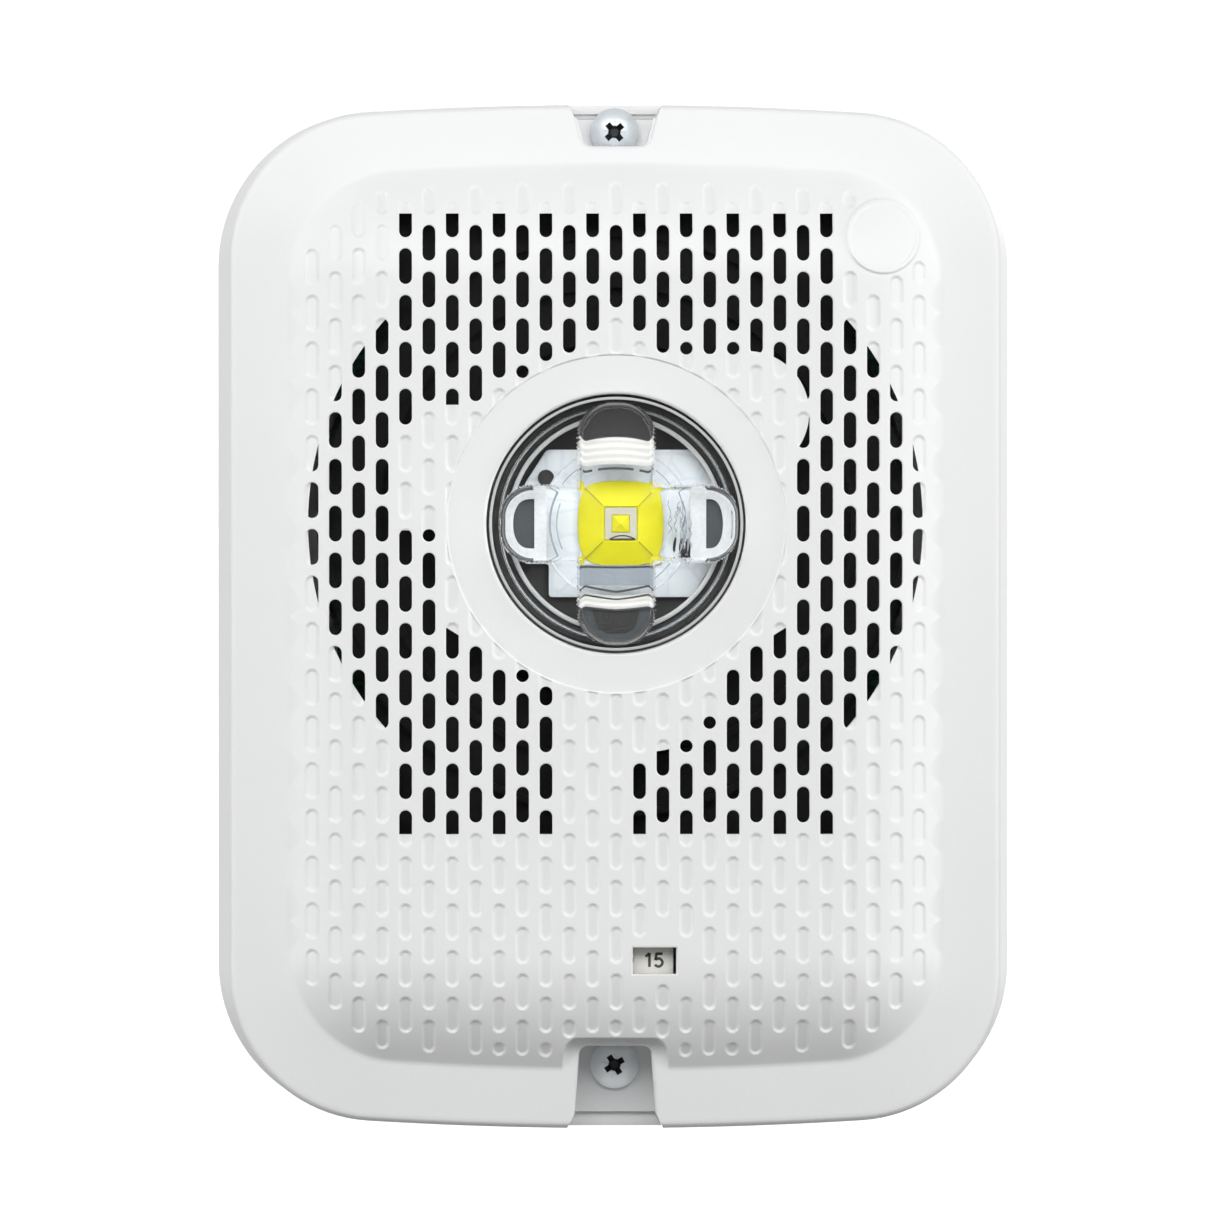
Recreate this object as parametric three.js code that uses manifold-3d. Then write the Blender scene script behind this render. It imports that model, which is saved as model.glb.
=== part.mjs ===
// A wall-mounted fire alarm horn strobe, in millimetres.
// It is modelled as seen from the front: x to the right, y up, z out from the wall, with the wall at z = 0.
// The exported group is turned at the end so that z becomes -Y and y becomes +Z.
import * as THREE from "three";
import { mergeVertices } from "three/addons/utils/BufferGeometryUtils.js";
import Module from "manifold-3d";

const wasm = await Module();
wasm.setup();

// ---- Driving dimensions -------------------------------------------------------------------------

const seat = 0.1; // gap between pieces that rest on each other
const gap = 0.3; // gap round a piece that fits inside another
const far = 60; // well outside the object, for cutters

// Outlines are bowed rectangles: straight sides, bowed top and bottom edges, round corners.
const skirtOutline = { halfWidth: 55.5, halfHeight: 71.1, bow: 2.4, corner: 21.5 };
const lean = { side: 2.6, end: 0.1 }; // how far the side walls lean in, from the wall to the bezel
const bezelWidth = 8.8;
const bezelOutline = {
  halfWidth: skirtOutline.halfWidth - lean.side,
  halfHeight: skirtOutline.halfHeight - lean.end,
  bow: 2.6,
  corner: 20.5,
};
const domeOutline = {
  halfWidth: bezelOutline.halfWidth - bezelWidth,
  halfHeight: bezelOutline.halfHeight - bezelWidth,
  bow: 2.0,
  corner: 13,
};

const cover = {
  backZ: 1.0, // the skirt stops this far off the wall
  edgeZ: 17.4, // top of the side walls
  bezelZ: 18.8, // outer edge of the bezel face
  domeFootZ: 20.2, // where the bezel meets the dome
  domeRise: 6.4,
  domeShoulder: 15, // width of the dome's curved shoulder
  domePower: 2.2,
  skirtWall: 1.6,
  frontWall: 2.0,
};
const domeTopZ = cover.domeFootZ + cover.domeRise + 0.4;
const coverInnerZ = domeTopZ - cover.frontWall;

const lens = {
  y: 12.9, // height of the lens centre above the body centre
  ringRadius: 23.3, // smooth round recess round the lens
  ringDepth: 0.4,
  radius: 17.5,
  clearance: 0.4,
  wall: 1.4,
  flange: 2.1,
  flangeZ: 22.6,
  faceZ: 27.2,
  lobeHalfWidth: 5.4,
  lobeRise: 4.6,
  centreRadius: 9.6,
};
lens.openingRadius = lens.radius + lens.clearance;
lens.flangeRadius = lens.radius + lens.flange;
lens.horizontalLobe = lens.radius - 1.3;
lens.verticalLobe = lens.radius - 0.5;

const slot = { width: 1.8, length: 5.0, columnPitch: 3.237, rowPitch: 6.49 };
// Solid places behind the grille, from the lens centre: circles [x, y, radius] and boxes [x0, y0, x1, y1].
const solidCircles = [
  [0, 0, 24.6], // the lens tube
  [20.3, 15.9, 6.6], // the upper post
  [4.6, -20, 10.4], // the lower post
];
const solidBoxes = [
  [-31, -0.9, -20, 13], // left stiffener
  [-27.5, 12.9, -20, 16.4],
  [-2, 20, 2, 28.8], // upper rib
  [-4.3, 20, 4.3, 25.6],
  [0, 10, 20, 23.7], // upper right stiffener
  [-8, -44, 2, -20], // lower rib
];

// Notches for the two captive screws: ledge is the y where the notch begins.
const notches = {
  top: { side: 1, ledge: skirtOutline.halfHeight - 6.0, innerHalf: 4.6, outerHalf: 5.6, screwIn: 2.1 },
  bottom: { side: -1, ledge: skirtOutline.halfHeight - 11.7, innerHalf: 5.0, outerHalf: 5.7, screwIn: 3.0 },
};
for (const notch of Object.values(notches)) notch.screwY = notch.ledge + notch.screwIn;
const notchFloorZ = 10.2;
const notchFloorEnd = skirtOutline.halfHeight - 2.1;
const notchWall = 1.6;
// bezel-level lip where the lower notch bites into the dome
const notchLip = { top: notches.bottom.ledge - 1.2, half: notches.bottom.innerHalf + 2.1, z: 20.2 };

const screw = { headRadius: 3.35, headHeight: 2.2, shankRadius: 1.6, clearance: 0.3, length: 11.8 };
// A plain raised ring on the dome's upper right corner, so far in from the dome's edge, at this bearing.
const emblem = { inset: 5.7, bearing: 0.65, radius: 5.4, faceRadius: 4.7, rise: 0.5 };
const windowCut = { x: 5.3, y: 14.85 - domeOutline.halfHeight, width: 6.0, height: 3.7 };

const plate = { thickness: 2.4, rim: 1.8, rimZ: 6.4, tabHalf: 5.1, tabZ: 4.2, bossRadius: 3.3 };
plate.tabEnd = skirtOutline.halfHeight - 0.2;
const wireOpening = { halfWidth: 23, near: 12.5, far: 33.5 }; // two, one each side of the terminals
const gangSlot = { width: 4.2, length: 8, y: 41.65, x: 23 }; // single gang at x 0, double gang at +-x

const terminal = { pitch: 9, count: 4, y: 0, wellWidth: 7.2, wellHeight: 13, pinY: 4.4 };
const block = {
  width: terminal.count * terminal.pitch + 2,
  height: 16,
  z0: plate.thickness + seat,
  z1: 7.2,
  floor: 1.0,
};
const contactThickness = 0.8;
const clampThickness = 0.8;
const terminalScrewRadius = 2.6;
const terminalShankRadius = 1.3;
const terminalScrewY = -1.6;
const spring = { y: -6.0, width: 1.0, depth: 1.4 };
const headerSize = { width: (terminal.count - 1) * terminal.pitch + 7, height: 5 };
const pinSize = { width: 2.2, thickness: 0.8, tipZ: 4.8 };

const rear = { inset: 2.1, z0: 8.2, thickness: 1.6, rim: 1.5, rimZ: 14.6 };
const rearFrontZ = rear.z0 + rear.thickness;
const coverScrew = {
  x: domeOutline.halfWidth - 0.7,
  y: domeOutline.halfHeight - 13.2,
  bossRadius: 2.9,
  headRadius: 2.5,
  headHeight: 0.9,
  shankRadius: 1.0,
  length: 8,
};

const board = {
  halfWidth: coverScrew.x - coverScrew.bossRadius - 2,
  halfHeight: domeOutline.halfHeight - 8.2,
  z0: 11.0,
  thickness: 1.6,
};
const boardFrontZ = board.z0 + board.thickness;

const toneSwitch = { x: 24, y: -22, size: 10.4, bodyZ: 8.6, knobRadius: 3.8, knobZ: 6.9, shaftRadius: 2.0 };

// The slider carries the printed settings past the window, one label pitch for each setting.
const slider = {
  labelPitch: 4.4,
  settings: 7,
  endX: 8.0, // right end of the strip
  stripHeight: 5.2,
  stripThickness: 1.0,
  stemX: -20,
  stemSize: 3.0,
  handleZ: 5.9,
};
slider.travel = slider.labelPitch * (slider.settings - 1);
slider.stripZ = coverInnerZ - 1.2 - slider.stripThickness;
const sliderSlot = {
  x0: slider.stemX - slider.stemSize / 2 - gap,
  x1: slider.stemX + slider.stemSize / 2 + slider.travel + gap,
  height: slider.stemSize + 2 * gap,
};

// The horn takes the room that the dome's sides and the upper notch leave it.
const hornRoom = [domeOutline.halfWidth - 2.7, notches.top.ledge - notchWall - lens.y - 9.2];
const horn = {
  radius: Math.min(...hornRoom),
  wall: 1.5,
  topZ: 19.2,
  floorZ: 15.0,
  floor: 1.4,
  plateThickness: 1.2,
  diaphragmRadius: 20.6,
  diaphragmThickness: 0.25,
  ceramicRadius: 12.5,
};
horn.plateRadius = horn.radius - 5.4;
horn.portOuter = horn.plateRadius - 5;
horn.portInner = horn.portOuter - 4;

// The grille opens over the horn and over a box as wide as the inner columns.
const grille = {
  radius: horn.radius + 0.8,
  halfWidth: 30.2,
  halfHeight: domeOutline.halfHeight - lens.y - 6.5,
};
const baffle = { radius: lens.flangeRadius, wall: 1.3, floor: 1.2 };
baffle.z0 = horn.floorZ + horn.floor + seat;
baffle.z1 = lens.flangeZ - seat;
const ledBoard = {
  middleX: 0.5,
  halfWidth: 13.1,
  halfHeight: 10.2,
  endHalf: 10.0, // half length of its straight upper edge
  sideHalf: 5.4, // half length of its straight right edge
  cut: [-9.2, -5.6], // inner corner of the square cut at its lower left
  thickness: 1.4,
  screws: [
    [-9.6, 6.3],
    [9.6, -3.2],
  ],
  screwHead: 1.15,
  screwShank: 0.7,
};
ledBoard.z0 = baffle.z0 + baffle.floor + seat;
const emitter = { half: 5.5, thickness: 1.8 };

// ---- Shape helpers ------------------------------------------------------------------------------

const arcSteps = 20; // sides of a full round
const fineSteps = 40; // sides of a large round

// A closed three.js geometry as a solid.
function solid(geometry) {
  const bare = geometry.index ? geometry.toNonIndexed() : geometry.clone();
  for (const name of Object.keys(bare.attributes)) if (name !== "position") bare.deleteAttribute(name);
  const merged = mergeVertices(bare, 1e-4);
  const mesh = new wasm.Mesh({
    numProp: 3,
    vertProperties: merged.attributes.position.array,
    triVerts: new Uint32Array(merged.index.array),
  });
  return new wasm.Manifold(mesh);
}

// A solid as a three.js geometry with flat faces.
function geometryOf(made) {
  const mesh = made.getMesh();
  const indexed = new THREE.BufferGeometry();
  const positions = new Float32Array(mesh.numVert * 3);
  for (let i = 0; i < mesh.numVert; i++) {
    positions.set(mesh.vertProperties.subarray(i * mesh.numProp, i * mesh.numProp + 3), i * 3);
  }
  indexed.setAttribute("position", new THREE.BufferAttribute(positions, 3));
  indexed.setIndex(new THREE.BufferAttribute(mesh.triVerts, 1));
  const flat = indexed.toNonIndexed();
  flat.computeVertexNormals();
  return flat;
}

function boxBetween(x0, y0, z0, x1, y1, z1) {
  const geometry = new THREE.BoxGeometry(x1 - x0, y1 - y0, z1 - z0);
  geometry.translate((x0 + x1) / 2, (y0 + y1) / 2, (z0 + z1) / 2);
  return solid(geometry);
}

function boxAt(x, y, width, height, z0, z1) {
  return boxBetween(x - width / 2, y - height / 2, z0, x + width / 2, y + height / 2, z1);
}

// A cylinder or cone along z.
function rod(x, y, radius, z0, z1, sides = arcSteps, endRadius = radius) {
  const geometry = new THREE.CylinderGeometry(endRadius, radius, z1 - z0, sides);
  geometry.rotateX(Math.PI / 2);
  geometry.translate(x, y, (z0 + z1) / 2);
  return solid(geometry);
}

function tube(x, y, outer, inner, z0, z1, sides = arcSteps) {
  return rod(x, y, outer, z0, z1, sides).subtract(rod(x, y, inner, z0 - 1, z1 + 1, sides));
}

function prism(points, z0, z1) {
  const geometry = new THREE.ExtrudeGeometry(new THREE.Shape(points), {
    depth: z1 - z0,
    bevelEnabled: false,
    steps: 1,
  });
  geometry.translate(0, 0, z0);
  return solid(geometry);
}

function union(solids) {
  return solids.reduce((sum, next) => sum.add(next));
}

// Centre of an outline's upper right corner round.
function cornerCentre(outline, inset = 0) {
  const width = outline.halfWidth - inset;
  const height = outline.halfHeight - inset;
  const corner = Math.max(outline.corner - inset, 1.5);
  const bowRadius = (outline.halfWidth ** 2 + outline.bow ** 2) / (2 * outline.bow) - inset;
  const bowY = height - bowRadius;
  const x = width - corner;
  return { x, y: bowY + Math.sqrt((bowRadius - corner) ** 2 - x ** 2), corner, bowY, bowRadius };
}

// The outline's points, anticlockwise from the right-hand side, moved inwards by inset.
function bowedPoints(outline, inset = 0, cornerSteps = 5, bowSteps = 3) {
  const { x: cornerX, y: cornerY, corner, bowY, bowRadius } = cornerCentre(outline, inset);
  const turn = Math.atan2(cornerY - bowY, cornerX);
  const quarter = [];
  for (let i = 0; i <= cornerSteps; i++) {
    const a = (turn * i) / cornerSteps;
    quarter.push(new THREE.Vector2(cornerX + corner * Math.cos(a), cornerY + corner * Math.sin(a)));
  }
  for (let i = 1; i <= bowSteps; i++) {
    const a = turn + ((Math.PI / 2 - turn) * i) / bowSteps;
    quarter.push(new THREE.Vector2(bowRadius * Math.cos(a), bowY + bowRadius * Math.sin(a)));
  }
  const upper = [...quarter, ...quarter.slice(0, -1).reverse().map((p) => new THREE.Vector2(-p.x, p.y))];
  return [...upper, ...upper.map((p) => new THREE.Vector2(-p.x, -p.y))];
}

// A closed solid through rings of equally many points, each ring { points, z }.
function loft(rings) {
  const count = rings[0].points.length;
  const positions = rings.flatMap((ring) => ring.points.flatMap((p) => [p.x, p.y, ring.z]));
  const index = [];
  for (let r = 0; r + 1 < rings.length; r++) {
    for (let i = 0; i < count; i++) {
      const a = r * count + i;
      const b = r * count + ((i + 1) % count);
      index.push(a, b, b + count, a, b + count, a + count);
    }
  }
  const last = (rings.length - 1) * count;
  for (const [a, b, c] of THREE.ShapeUtils.triangulateShape(rings[0].points, [])) index.push(a, c, b);
  for (const [a, b, c] of THREE.ShapeUtils.triangulateShape(rings.at(-1).points, [])) {
    index.push(last + a, last + b, last + c);
  }
  const geometry = new THREE.BufferGeometry();
  geometry.setAttribute("position", new THREE.Float32BufferAttribute(positions, 3));
  geometry.setIndex(index);
  return solid(geometry);
}

// A slot with round ends, upright unless wide is true.
function stadium(x, y, width, length, z0, z1, endSteps = 3, wide = false) {
  const radius = width / 2;
  const reach = length / 2 - radius;
  const points = [];
  for (const end of [0, 1]) {
    for (let i = 0; i <= endSteps; i++) {
      const a = Math.PI * (end + i / endSteps);
      const along = end ? -reach : reach;
      const p = new THREE.Vector2(radius * Math.cos(a), along + radius * Math.sin(a));
      points.push(wide ? new THREE.Vector2(x - p.y, y + p.x) : new THREE.Vector2(x + p.x, y + p.y));
    }
  }
  return prism(points, z0, z1);
}

const root = new THREE.Group();

function plastic(color, roughness = 0.5) {
  return new THREE.MeshStandardMaterial({ color, roughness, metalness: 0 });
}

function metal(color, roughness = 0.35) {
  return new THREE.MeshStandardMaterial({ color, roughness, metalness: 1 });
}

const whitePlastic = plastic(0xf0f0ee);
const darkPlastic = plastic(0x2b2b2e, 0.6);
const greyPlastic = plastic(0xb9bbb8, 0.6);
const clearPlastic = new THREE.MeshStandardMaterial({
  color: 0xf4f8fa,
  roughness: 0.05,
  metalness: 0,
  transparent: true,
  opacity: 0.35,
});
const zincSteel = metal(0xc9d0d6);
const brass = metal(0xc9a94f);
const tinnedCopper = metal(0xd0cfc8);
const greenBoard = plastic(0x1f5c3a, 0.55);

// Adds one solid as a named mesh.
function piece(name, made, material) {
  const mesh = new THREE.Mesh(geometryOf(made), material);
  mesh.name = name;
  root.add(mesh);
}

// ---- Front cover --------------------------------------------------------------------------------

// Height of the dome so far in from its edge, and its slope there.
function domeZ(inset) {
  return domeTopZ - cover.domeRise * Math.max(0, 1 - inset / cover.domeShoulder) ** cover.domePower;
}

function domeSlope(inset) {
  const share = Math.max(0, 1 - inset / cover.domeShoulder);
  return (cover.domeRise * cover.domePower * share ** (cover.domePower - 1)) / cover.domeShoulder;
}

// Rings of the cover's outer surface, or of its inside when wall is set.
function coverRings(skirtWall = 0, frontWall = 0) {
  const inside = frontWall > 0;
  const ring = (outline, inset, z) => ({ points: bowedPoints(outline, inset), z });
  const rings = [
    ring(skirtOutline, skirtWall, inside ? cover.backZ - 1 : cover.backZ),
    ring(bezelOutline, skirtWall, cover.edgeZ - frontWall),
    ring(bezelOutline, skirtWall + 0.5, cover.edgeZ + 0.9 - frontWall),
    ring(bezelOutline, skirtWall + 1.6, cover.bezelZ - frontWall),
    ring(domeOutline, -2.2 + frontWall / 2, cover.domeFootZ - 0.3 - frontWall),
    ring(domeOutline, frontWall / 2, cover.domeFootZ + 0.4 - frontWall),
  ];
  for (const share of [0.12, 0.3, 0.55, 1]) {
    const inset = cover.domeShoulder * share;
    rings.push(ring(domeOutline, inset + frontWall / 2, domeZ(inset) - frontWall));
  }
  return rings;
}

function notchPoints(notch, grow = 0) {
  const y0 = notch.ledge - grow;
  const corner = 1.2;
  const inner = notch.innerHalf + grow;
  const outer = notch.outerHalf + grow;
  const right = [
    new THREE.Vector2(outer, far + 20),
    new THREE.Vector2(outer, notchFloorEnd),
    new THREE.Vector2(inner, y0 + corner),
    new THREE.Vector2(inner - corner, y0),
  ];
  const points = [...right, ...right.slice().reverse().map((p) => new THREE.Vector2(-p.x, p.y))];
  return points.map((p) => new THREE.Vector2(p.x, p.y * notch.side));
}

function notchPrism(notch, grow, z0, z1) {
  const points = notchPoints(notch, grow);
  return prism(notch.side > 0 ? points.reverse() : points, z0, z1);
}

// Room for the screw's head, which reaches under the ledge.
function headPocket(notch, grow) {
  const radius = screw.headRadius + screw.clearance + grow;
  const top = notchFloorZ + seat + screw.headHeight + screw.clearance + grow;
  return rod(0, notch.screwY * notch.side, radius, notchFloorZ - grow, top);
}

// The open slots: the staggered grid, inside the grille's circle and box, away from the solid places.
function grilleCut() {
  const z0 = cover.domeFootZ - 1.5;
  const columns = Math.ceil(grille.radius / slot.columnPitch);
  const rows = Math.ceil(grille.halfHeight / slot.rowPitch) + 1;
  const slots = [];
  for (let i = -columns; i <= columns; i++) {
    for (let k = -rows; k <= rows; k++) {
      const x = i * slot.columnPitch;
      const y = (k + (i % 2 ? 0.5 : 0)) * slot.rowPitch;
      const inBox = Math.abs(x) < grille.halfWidth && Math.abs(y) < grille.halfHeight + slot.length / 2;
      if (!inBox && Math.hypot(x, y) > grille.radius + slot.width) continue;
      if (Math.hypot(x, y) < solidCircles[0][2] - slot.length / 2) continue;
      slots.push(stadium(x, y + lens.y, slot.width, slot.length, z0, domeTopZ + 1, 2));
    }
  }
  const at = (x, y, r, sides) => rod(x, y + lens.y, r, z0 - 1, domeTopZ + 2, sides);
  let open = at(0, 0, grille.radius, fineSteps);
  const { halfWidth, halfHeight } = grille;
  open = open.add(
    boxBetween(-halfWidth, lens.y - halfHeight, z0 - 1, halfWidth, lens.y + halfHeight, domeTopZ + 2),
  );
  for (const [x, y, r] of solidCircles) open = open.subtract(at(x, y, r, fineSteps));
  for (const [x0, y0, x1, y1] of solidBoxes) {
    open = open.subtract(boxBetween(x0, lens.y + y0, z0 - 2, x1, lens.y + y1, domeTopZ + 3));
  }
  return union(slots).intersect(open);
}

// A raised ring on the dome's upper right corner, square to the surface there.
function emblemRing() {
  const { inset, bearing, radius, faceRadius, rise } = emblem;
  const base = -1.4;
  const ring = rod(0, 0, radius, base, rise, 28, faceRadius).subtract(
    rod(0, 0, faceRadius - 0.5, rise - 0.2, rise + 1, 28),
  );
  const degrees = 180 / Math.PI;
  const centre = cornerCentre(domeOutline);
  const reach = domeOutline.corner - inset;
  return ring
    .rotate([0, Math.atan(domeSlope(inset)) * degrees, 0])
    .rotate([0, 0, bearing * degrees])
    .translate([centre.x + reach * Math.cos(bearing), centre.y + reach * Math.sin(bearing), domeZ(inset)]);
}

function frontCover() {
  const outer = loft(coverRings());
  const inside = loft(coverRings(cover.skirtWall, cover.frontWall));
  let made = outer.subtract(inside);
  const additions = [
    tube(0, lens.y, solidCircles[0][2] - 0.3, lens.flangeRadius + gap, baffle.z0 + 0.4, domeTopZ, fineSteps),
  ];
  for (const notch of Object.values(notches)) {
    additions.push(notchPrism(notch, notchWall, notchFloorZ - notchWall, domeTopZ));
    additions.push(headPocket(notch, notchWall));
  }
  for (const sx of [-1, 1]) {
    for (const sy of [-1, 1]) {
      const { x, y, bossRadius } = coverScrew;
      additions.push(rod(sx * x, sy * y, bossRadius, rearFrontZ + seat, domeTopZ, 16));
    }
  }
  made = made.add(union(additions).intersect(outer));
  made = made.add(emblemRing());
  // the smooth recess and the opening for the lens
  made = made.subtract(rod(0, lens.y, lens.ringRadius, domeTopZ - lens.ringDepth, domeTopZ + 5, fineSteps));
  made = made.subtract(rod(0, lens.y, lens.openingRadius, coverInnerZ - 3, domeTopZ + 5, fineSteps));
  made = made.subtract(rod(0, lens.y, lens.flangeRadius + gap, 0, lens.flangeZ + lens.wall + seat, fineSteps));
  made = made.subtract(grilleCut());
  const { x, y, width, height } = windowCut;
  made = made.subtract(boxAt(x, y, width, height, coverInnerZ - 2, domeTopZ + 2));
  // the lip round the lower notch, level with the bezel
  const lip = [
    new THREE.Vector2(-notchLip.half - 0.6, -far - 20),
    new THREE.Vector2(notchLip.half + 0.6, -far - 20),
    new THREE.Vector2(notchLip.half, -notchLip.top - 1),
    new THREE.Vector2(notchLip.half - 1, -notchLip.top),
    new THREE.Vector2(-notchLip.half + 1, -notchLip.top),
    new THREE.Vector2(-notchLip.half, -notchLip.top - 1),
  ];
  made = made.subtract(prism(lip, notchLip.z, domeTopZ + 2));
  for (const notch of Object.values(notches)) {
    made = made.subtract(notchPrism(notch, 0, notchFloorZ, domeTopZ + 5)).subtract(headPocket(notch, 0));
    const endY = [notchFloorEnd * notch.side, (far + 20) * notch.side].sort((a, b) => a - b);
    made = made.subtract(boxBetween(-notch.outerHalf, endY[0], -1, notch.outerHalf, endY[1], domeTopZ));
    const hole = screw.shankRadius + screw.clearance;
    made = made.subtract(rod(0, notch.screwY * notch.side, hole, 0, notchFloorZ + 1, 16));
  }
  for (const sx of [-1, 1]) {
    for (const sy of [-1, 1]) {
      const { shankRadius, length } = coverScrew;
      const top = rear.z0 + coverScrew.headHeight + length + 0.6;
      made = made.subtract(rod(sx * coverScrew.x, sy * coverScrew.y, shankRadius + 0.1, 8, top, 12));
    }
  }
  piece("front_cover", made, whitePlastic);
}

// ---- Lens and strobe ----------------------------------------------------------------------------

function ellipsoid(rx, ry, rz, z) {
  const geometry = new THREE.SphereGeometry(1, 16, 8);
  geometry.rotateX(Math.PI / 2);
  geometry.scale(rx, ry, rz);
  geometry.translate(0, lens.y, z);
  return solid(geometry);
}

// Clear lens: a flanged barrel with a cross of two rounded bulges and a round centre, hollow behind.
function strobeLens() {
  const cross = (thinner) =>
    union([
      ellipsoid(lens.horizontalLobe - thinner, lens.lobeHalfWidth - thinner, lens.lobeRise - thinner, lens.faceZ),
      ellipsoid(lens.lobeHalfWidth - thinner, lens.verticalLobe - thinner, lens.lobeRise - thinner, lens.faceZ),
      ellipsoid(lens.centreRadius - thinner, lens.centreRadius - thinner, lens.lobeRise - thinner, lens.faceZ),
    ]);
  const body = rod(0, lens.y, lens.radius, lens.flangeZ, lens.faceZ, fineSteps)
    .add(rod(0, lens.y, lens.flangeRadius, lens.flangeZ, lens.flangeZ + lens.wall, fineSteps))
    .add(cross(0));
  const hollow = rod(0, lens.y, lens.radius - lens.wall, lens.flangeZ - 1, lens.faceZ - lens.wall, fineSteps);
  piece("lens", body.subtract(hollow).subtract(cross(lens.wall)), clearPlastic);
}

// Dark cup behind the lens.
function strobeBaffle() {
  const cup = rod(0, lens.y, baffle.radius, baffle.z0, baffle.z1, fineSteps).subtract(
    rod(0, lens.y, baffle.radius - baffle.wall, baffle.z0 + baffle.floor, baffle.z1 + 1, fineSteps),
  );
  const wireHole = rod(0, lens.y + 13.5, 1.2, baffle.z0 - 1, baffle.z0 + baffle.floor + 1, 12);
  piece("strobe_baffle", cup.subtract(wireHole), darkPlastic);
}

function ledModule() {
  const { middleX, halfWidth, halfHeight: h, endHalf, sideHalf, cut, z0, thickness } = ledBoard;
  const left = middleX - halfWidth;
  const right = middleX + halfWidth;
  const points = [
    [cut[0], -h],
    [middleX + endHalf, -h],
    [right, -sideHalf],
    [right, sideHalf],
    [middleX + endHalf, h],
    [middleX - endHalf, h],
    [left, sideHalf],
    [left, cut[1]],
    cut,
  ].map(([x, y]) => new THREE.Vector2(x, y + lens.y));
  let made = prism(points, z0, z0 + thickness);
  for (const [x, y] of ledBoard.screws) {
    made = made.subtract(rod(x, lens.y + y, ledBoard.screwShank + seat, 0, 40, 12));
  }
  piece("led_board", made, plastic(0xdfe6ea, 0.4));
  ledBoard.screws.forEach(([x, y], i) => {
    const top = z0 + thickness + seat;
    const head = rod(x, lens.y + y, ledBoard.screwHead, top, top + 0.8, 14);
    const body = head.add(rod(x, lens.y + y, ledBoard.screwShank, z0 - 0.05, top + 0.2, 12));
    piece(`led_board_screw_${i + 1}`, body, zincSteel);
  });
  const z1 = z0 + thickness + seat;
  const base = boxAt(0, lens.y, 2 * emitter.half + 1.2, 2 * emitter.half + 1.2, z1, z1 + 0.6);
  piece("led_package", base, plastic(0xe9ecec, 0.35));
  const dome = new THREE.SphereGeometry(1, 16, 8);
  dome.rotateX(Math.PI / 2);
  dome.scale(emitter.half * 1.3, emitter.half * 1.3, emitter.thickness);
  dome.translate(0, lens.y, z1 + 0.6 + seat);
  const square = boxAt(0, lens.y, 2 * emitter.half, 2 * emitter.half, z1 + 0.6 + seat, z1 + 10);
  piece("led_phosphor", solid(dome).intersect(square), plastic(0xe8dc1a, 0.4));
}

// ---- Horn ---------------------------------------------------------------------------------------

function hornParts() {
  const plateZ = boardFrontZ + 0.4;
  const diaphragmZ = plateZ + horn.plateThickness + seat;
  const ring = tube(0, lens.y, horn.plateRadius, horn.diaphragmRadius - 1.3, plateZ, diaphragmZ - seat, fineSteps);
  piece("horn_back_plate", ring, darkPlastic);
  const disc = rod(0, lens.y, horn.diaphragmRadius, diaphragmZ, diaphragmZ + horn.diaphragmThickness, fineSteps);
  piece("horn_diaphragm", disc, brass);
  piece(
    "piezo_element",
    rod(0, lens.y, horn.ceramicRadius, diaphragmZ - seat - 0.3, diaphragmZ - seat, 36),
    plastic(0xe8e4d8, 0.6),
  );
  const clampZ = diaphragmZ + horn.diaphragmThickness + seat;
  let body = rod(0, lens.y, horn.radius, horn.floorZ, horn.floorZ + horn.floor, fineSteps)
    .add(tube(0, lens.y, horn.radius, horn.radius - horn.wall, plateZ, horn.topZ, fineSteps))
    .add(tube(0, lens.y, horn.diaphragmRadius, horn.diaphragmRadius - 1.4, clampZ, horn.floorZ + 0.2, fineSteps))
    .add(tube(0, lens.y, horn.plateRadius, horn.plateRadius - 1.5, diaphragmZ, horn.floorZ + 0.2, fineSteps));
  for (const turn of [0, 1, 2]) {
    const wedge = new THREE.Shape();
    const start = (turn * 2 * Math.PI) / 3 - Math.PI / 6 - 0.35;
    wedge.absarc(0, lens.y, horn.portOuter, start, start + 0.7, false);
    wedge.absarc(0, lens.y, horn.portInner, start + 0.7, start, true);
    const geometry = new THREE.ExtrudeGeometry(wedge, { depth: 10, bevelEnabled: false, curveSegments: 6 });
    geometry.translate(0, 0, horn.floorZ - 4);
    body = body.subtract(solid(geometry));
  }
  piece("horn_body", body, darkPlastic);
}

// ---- Electronics --------------------------------------------------------------------------------

function pinX(i) {
  return (i - (terminal.count - 1) / 2) * terminal.pitch;
}

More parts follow.
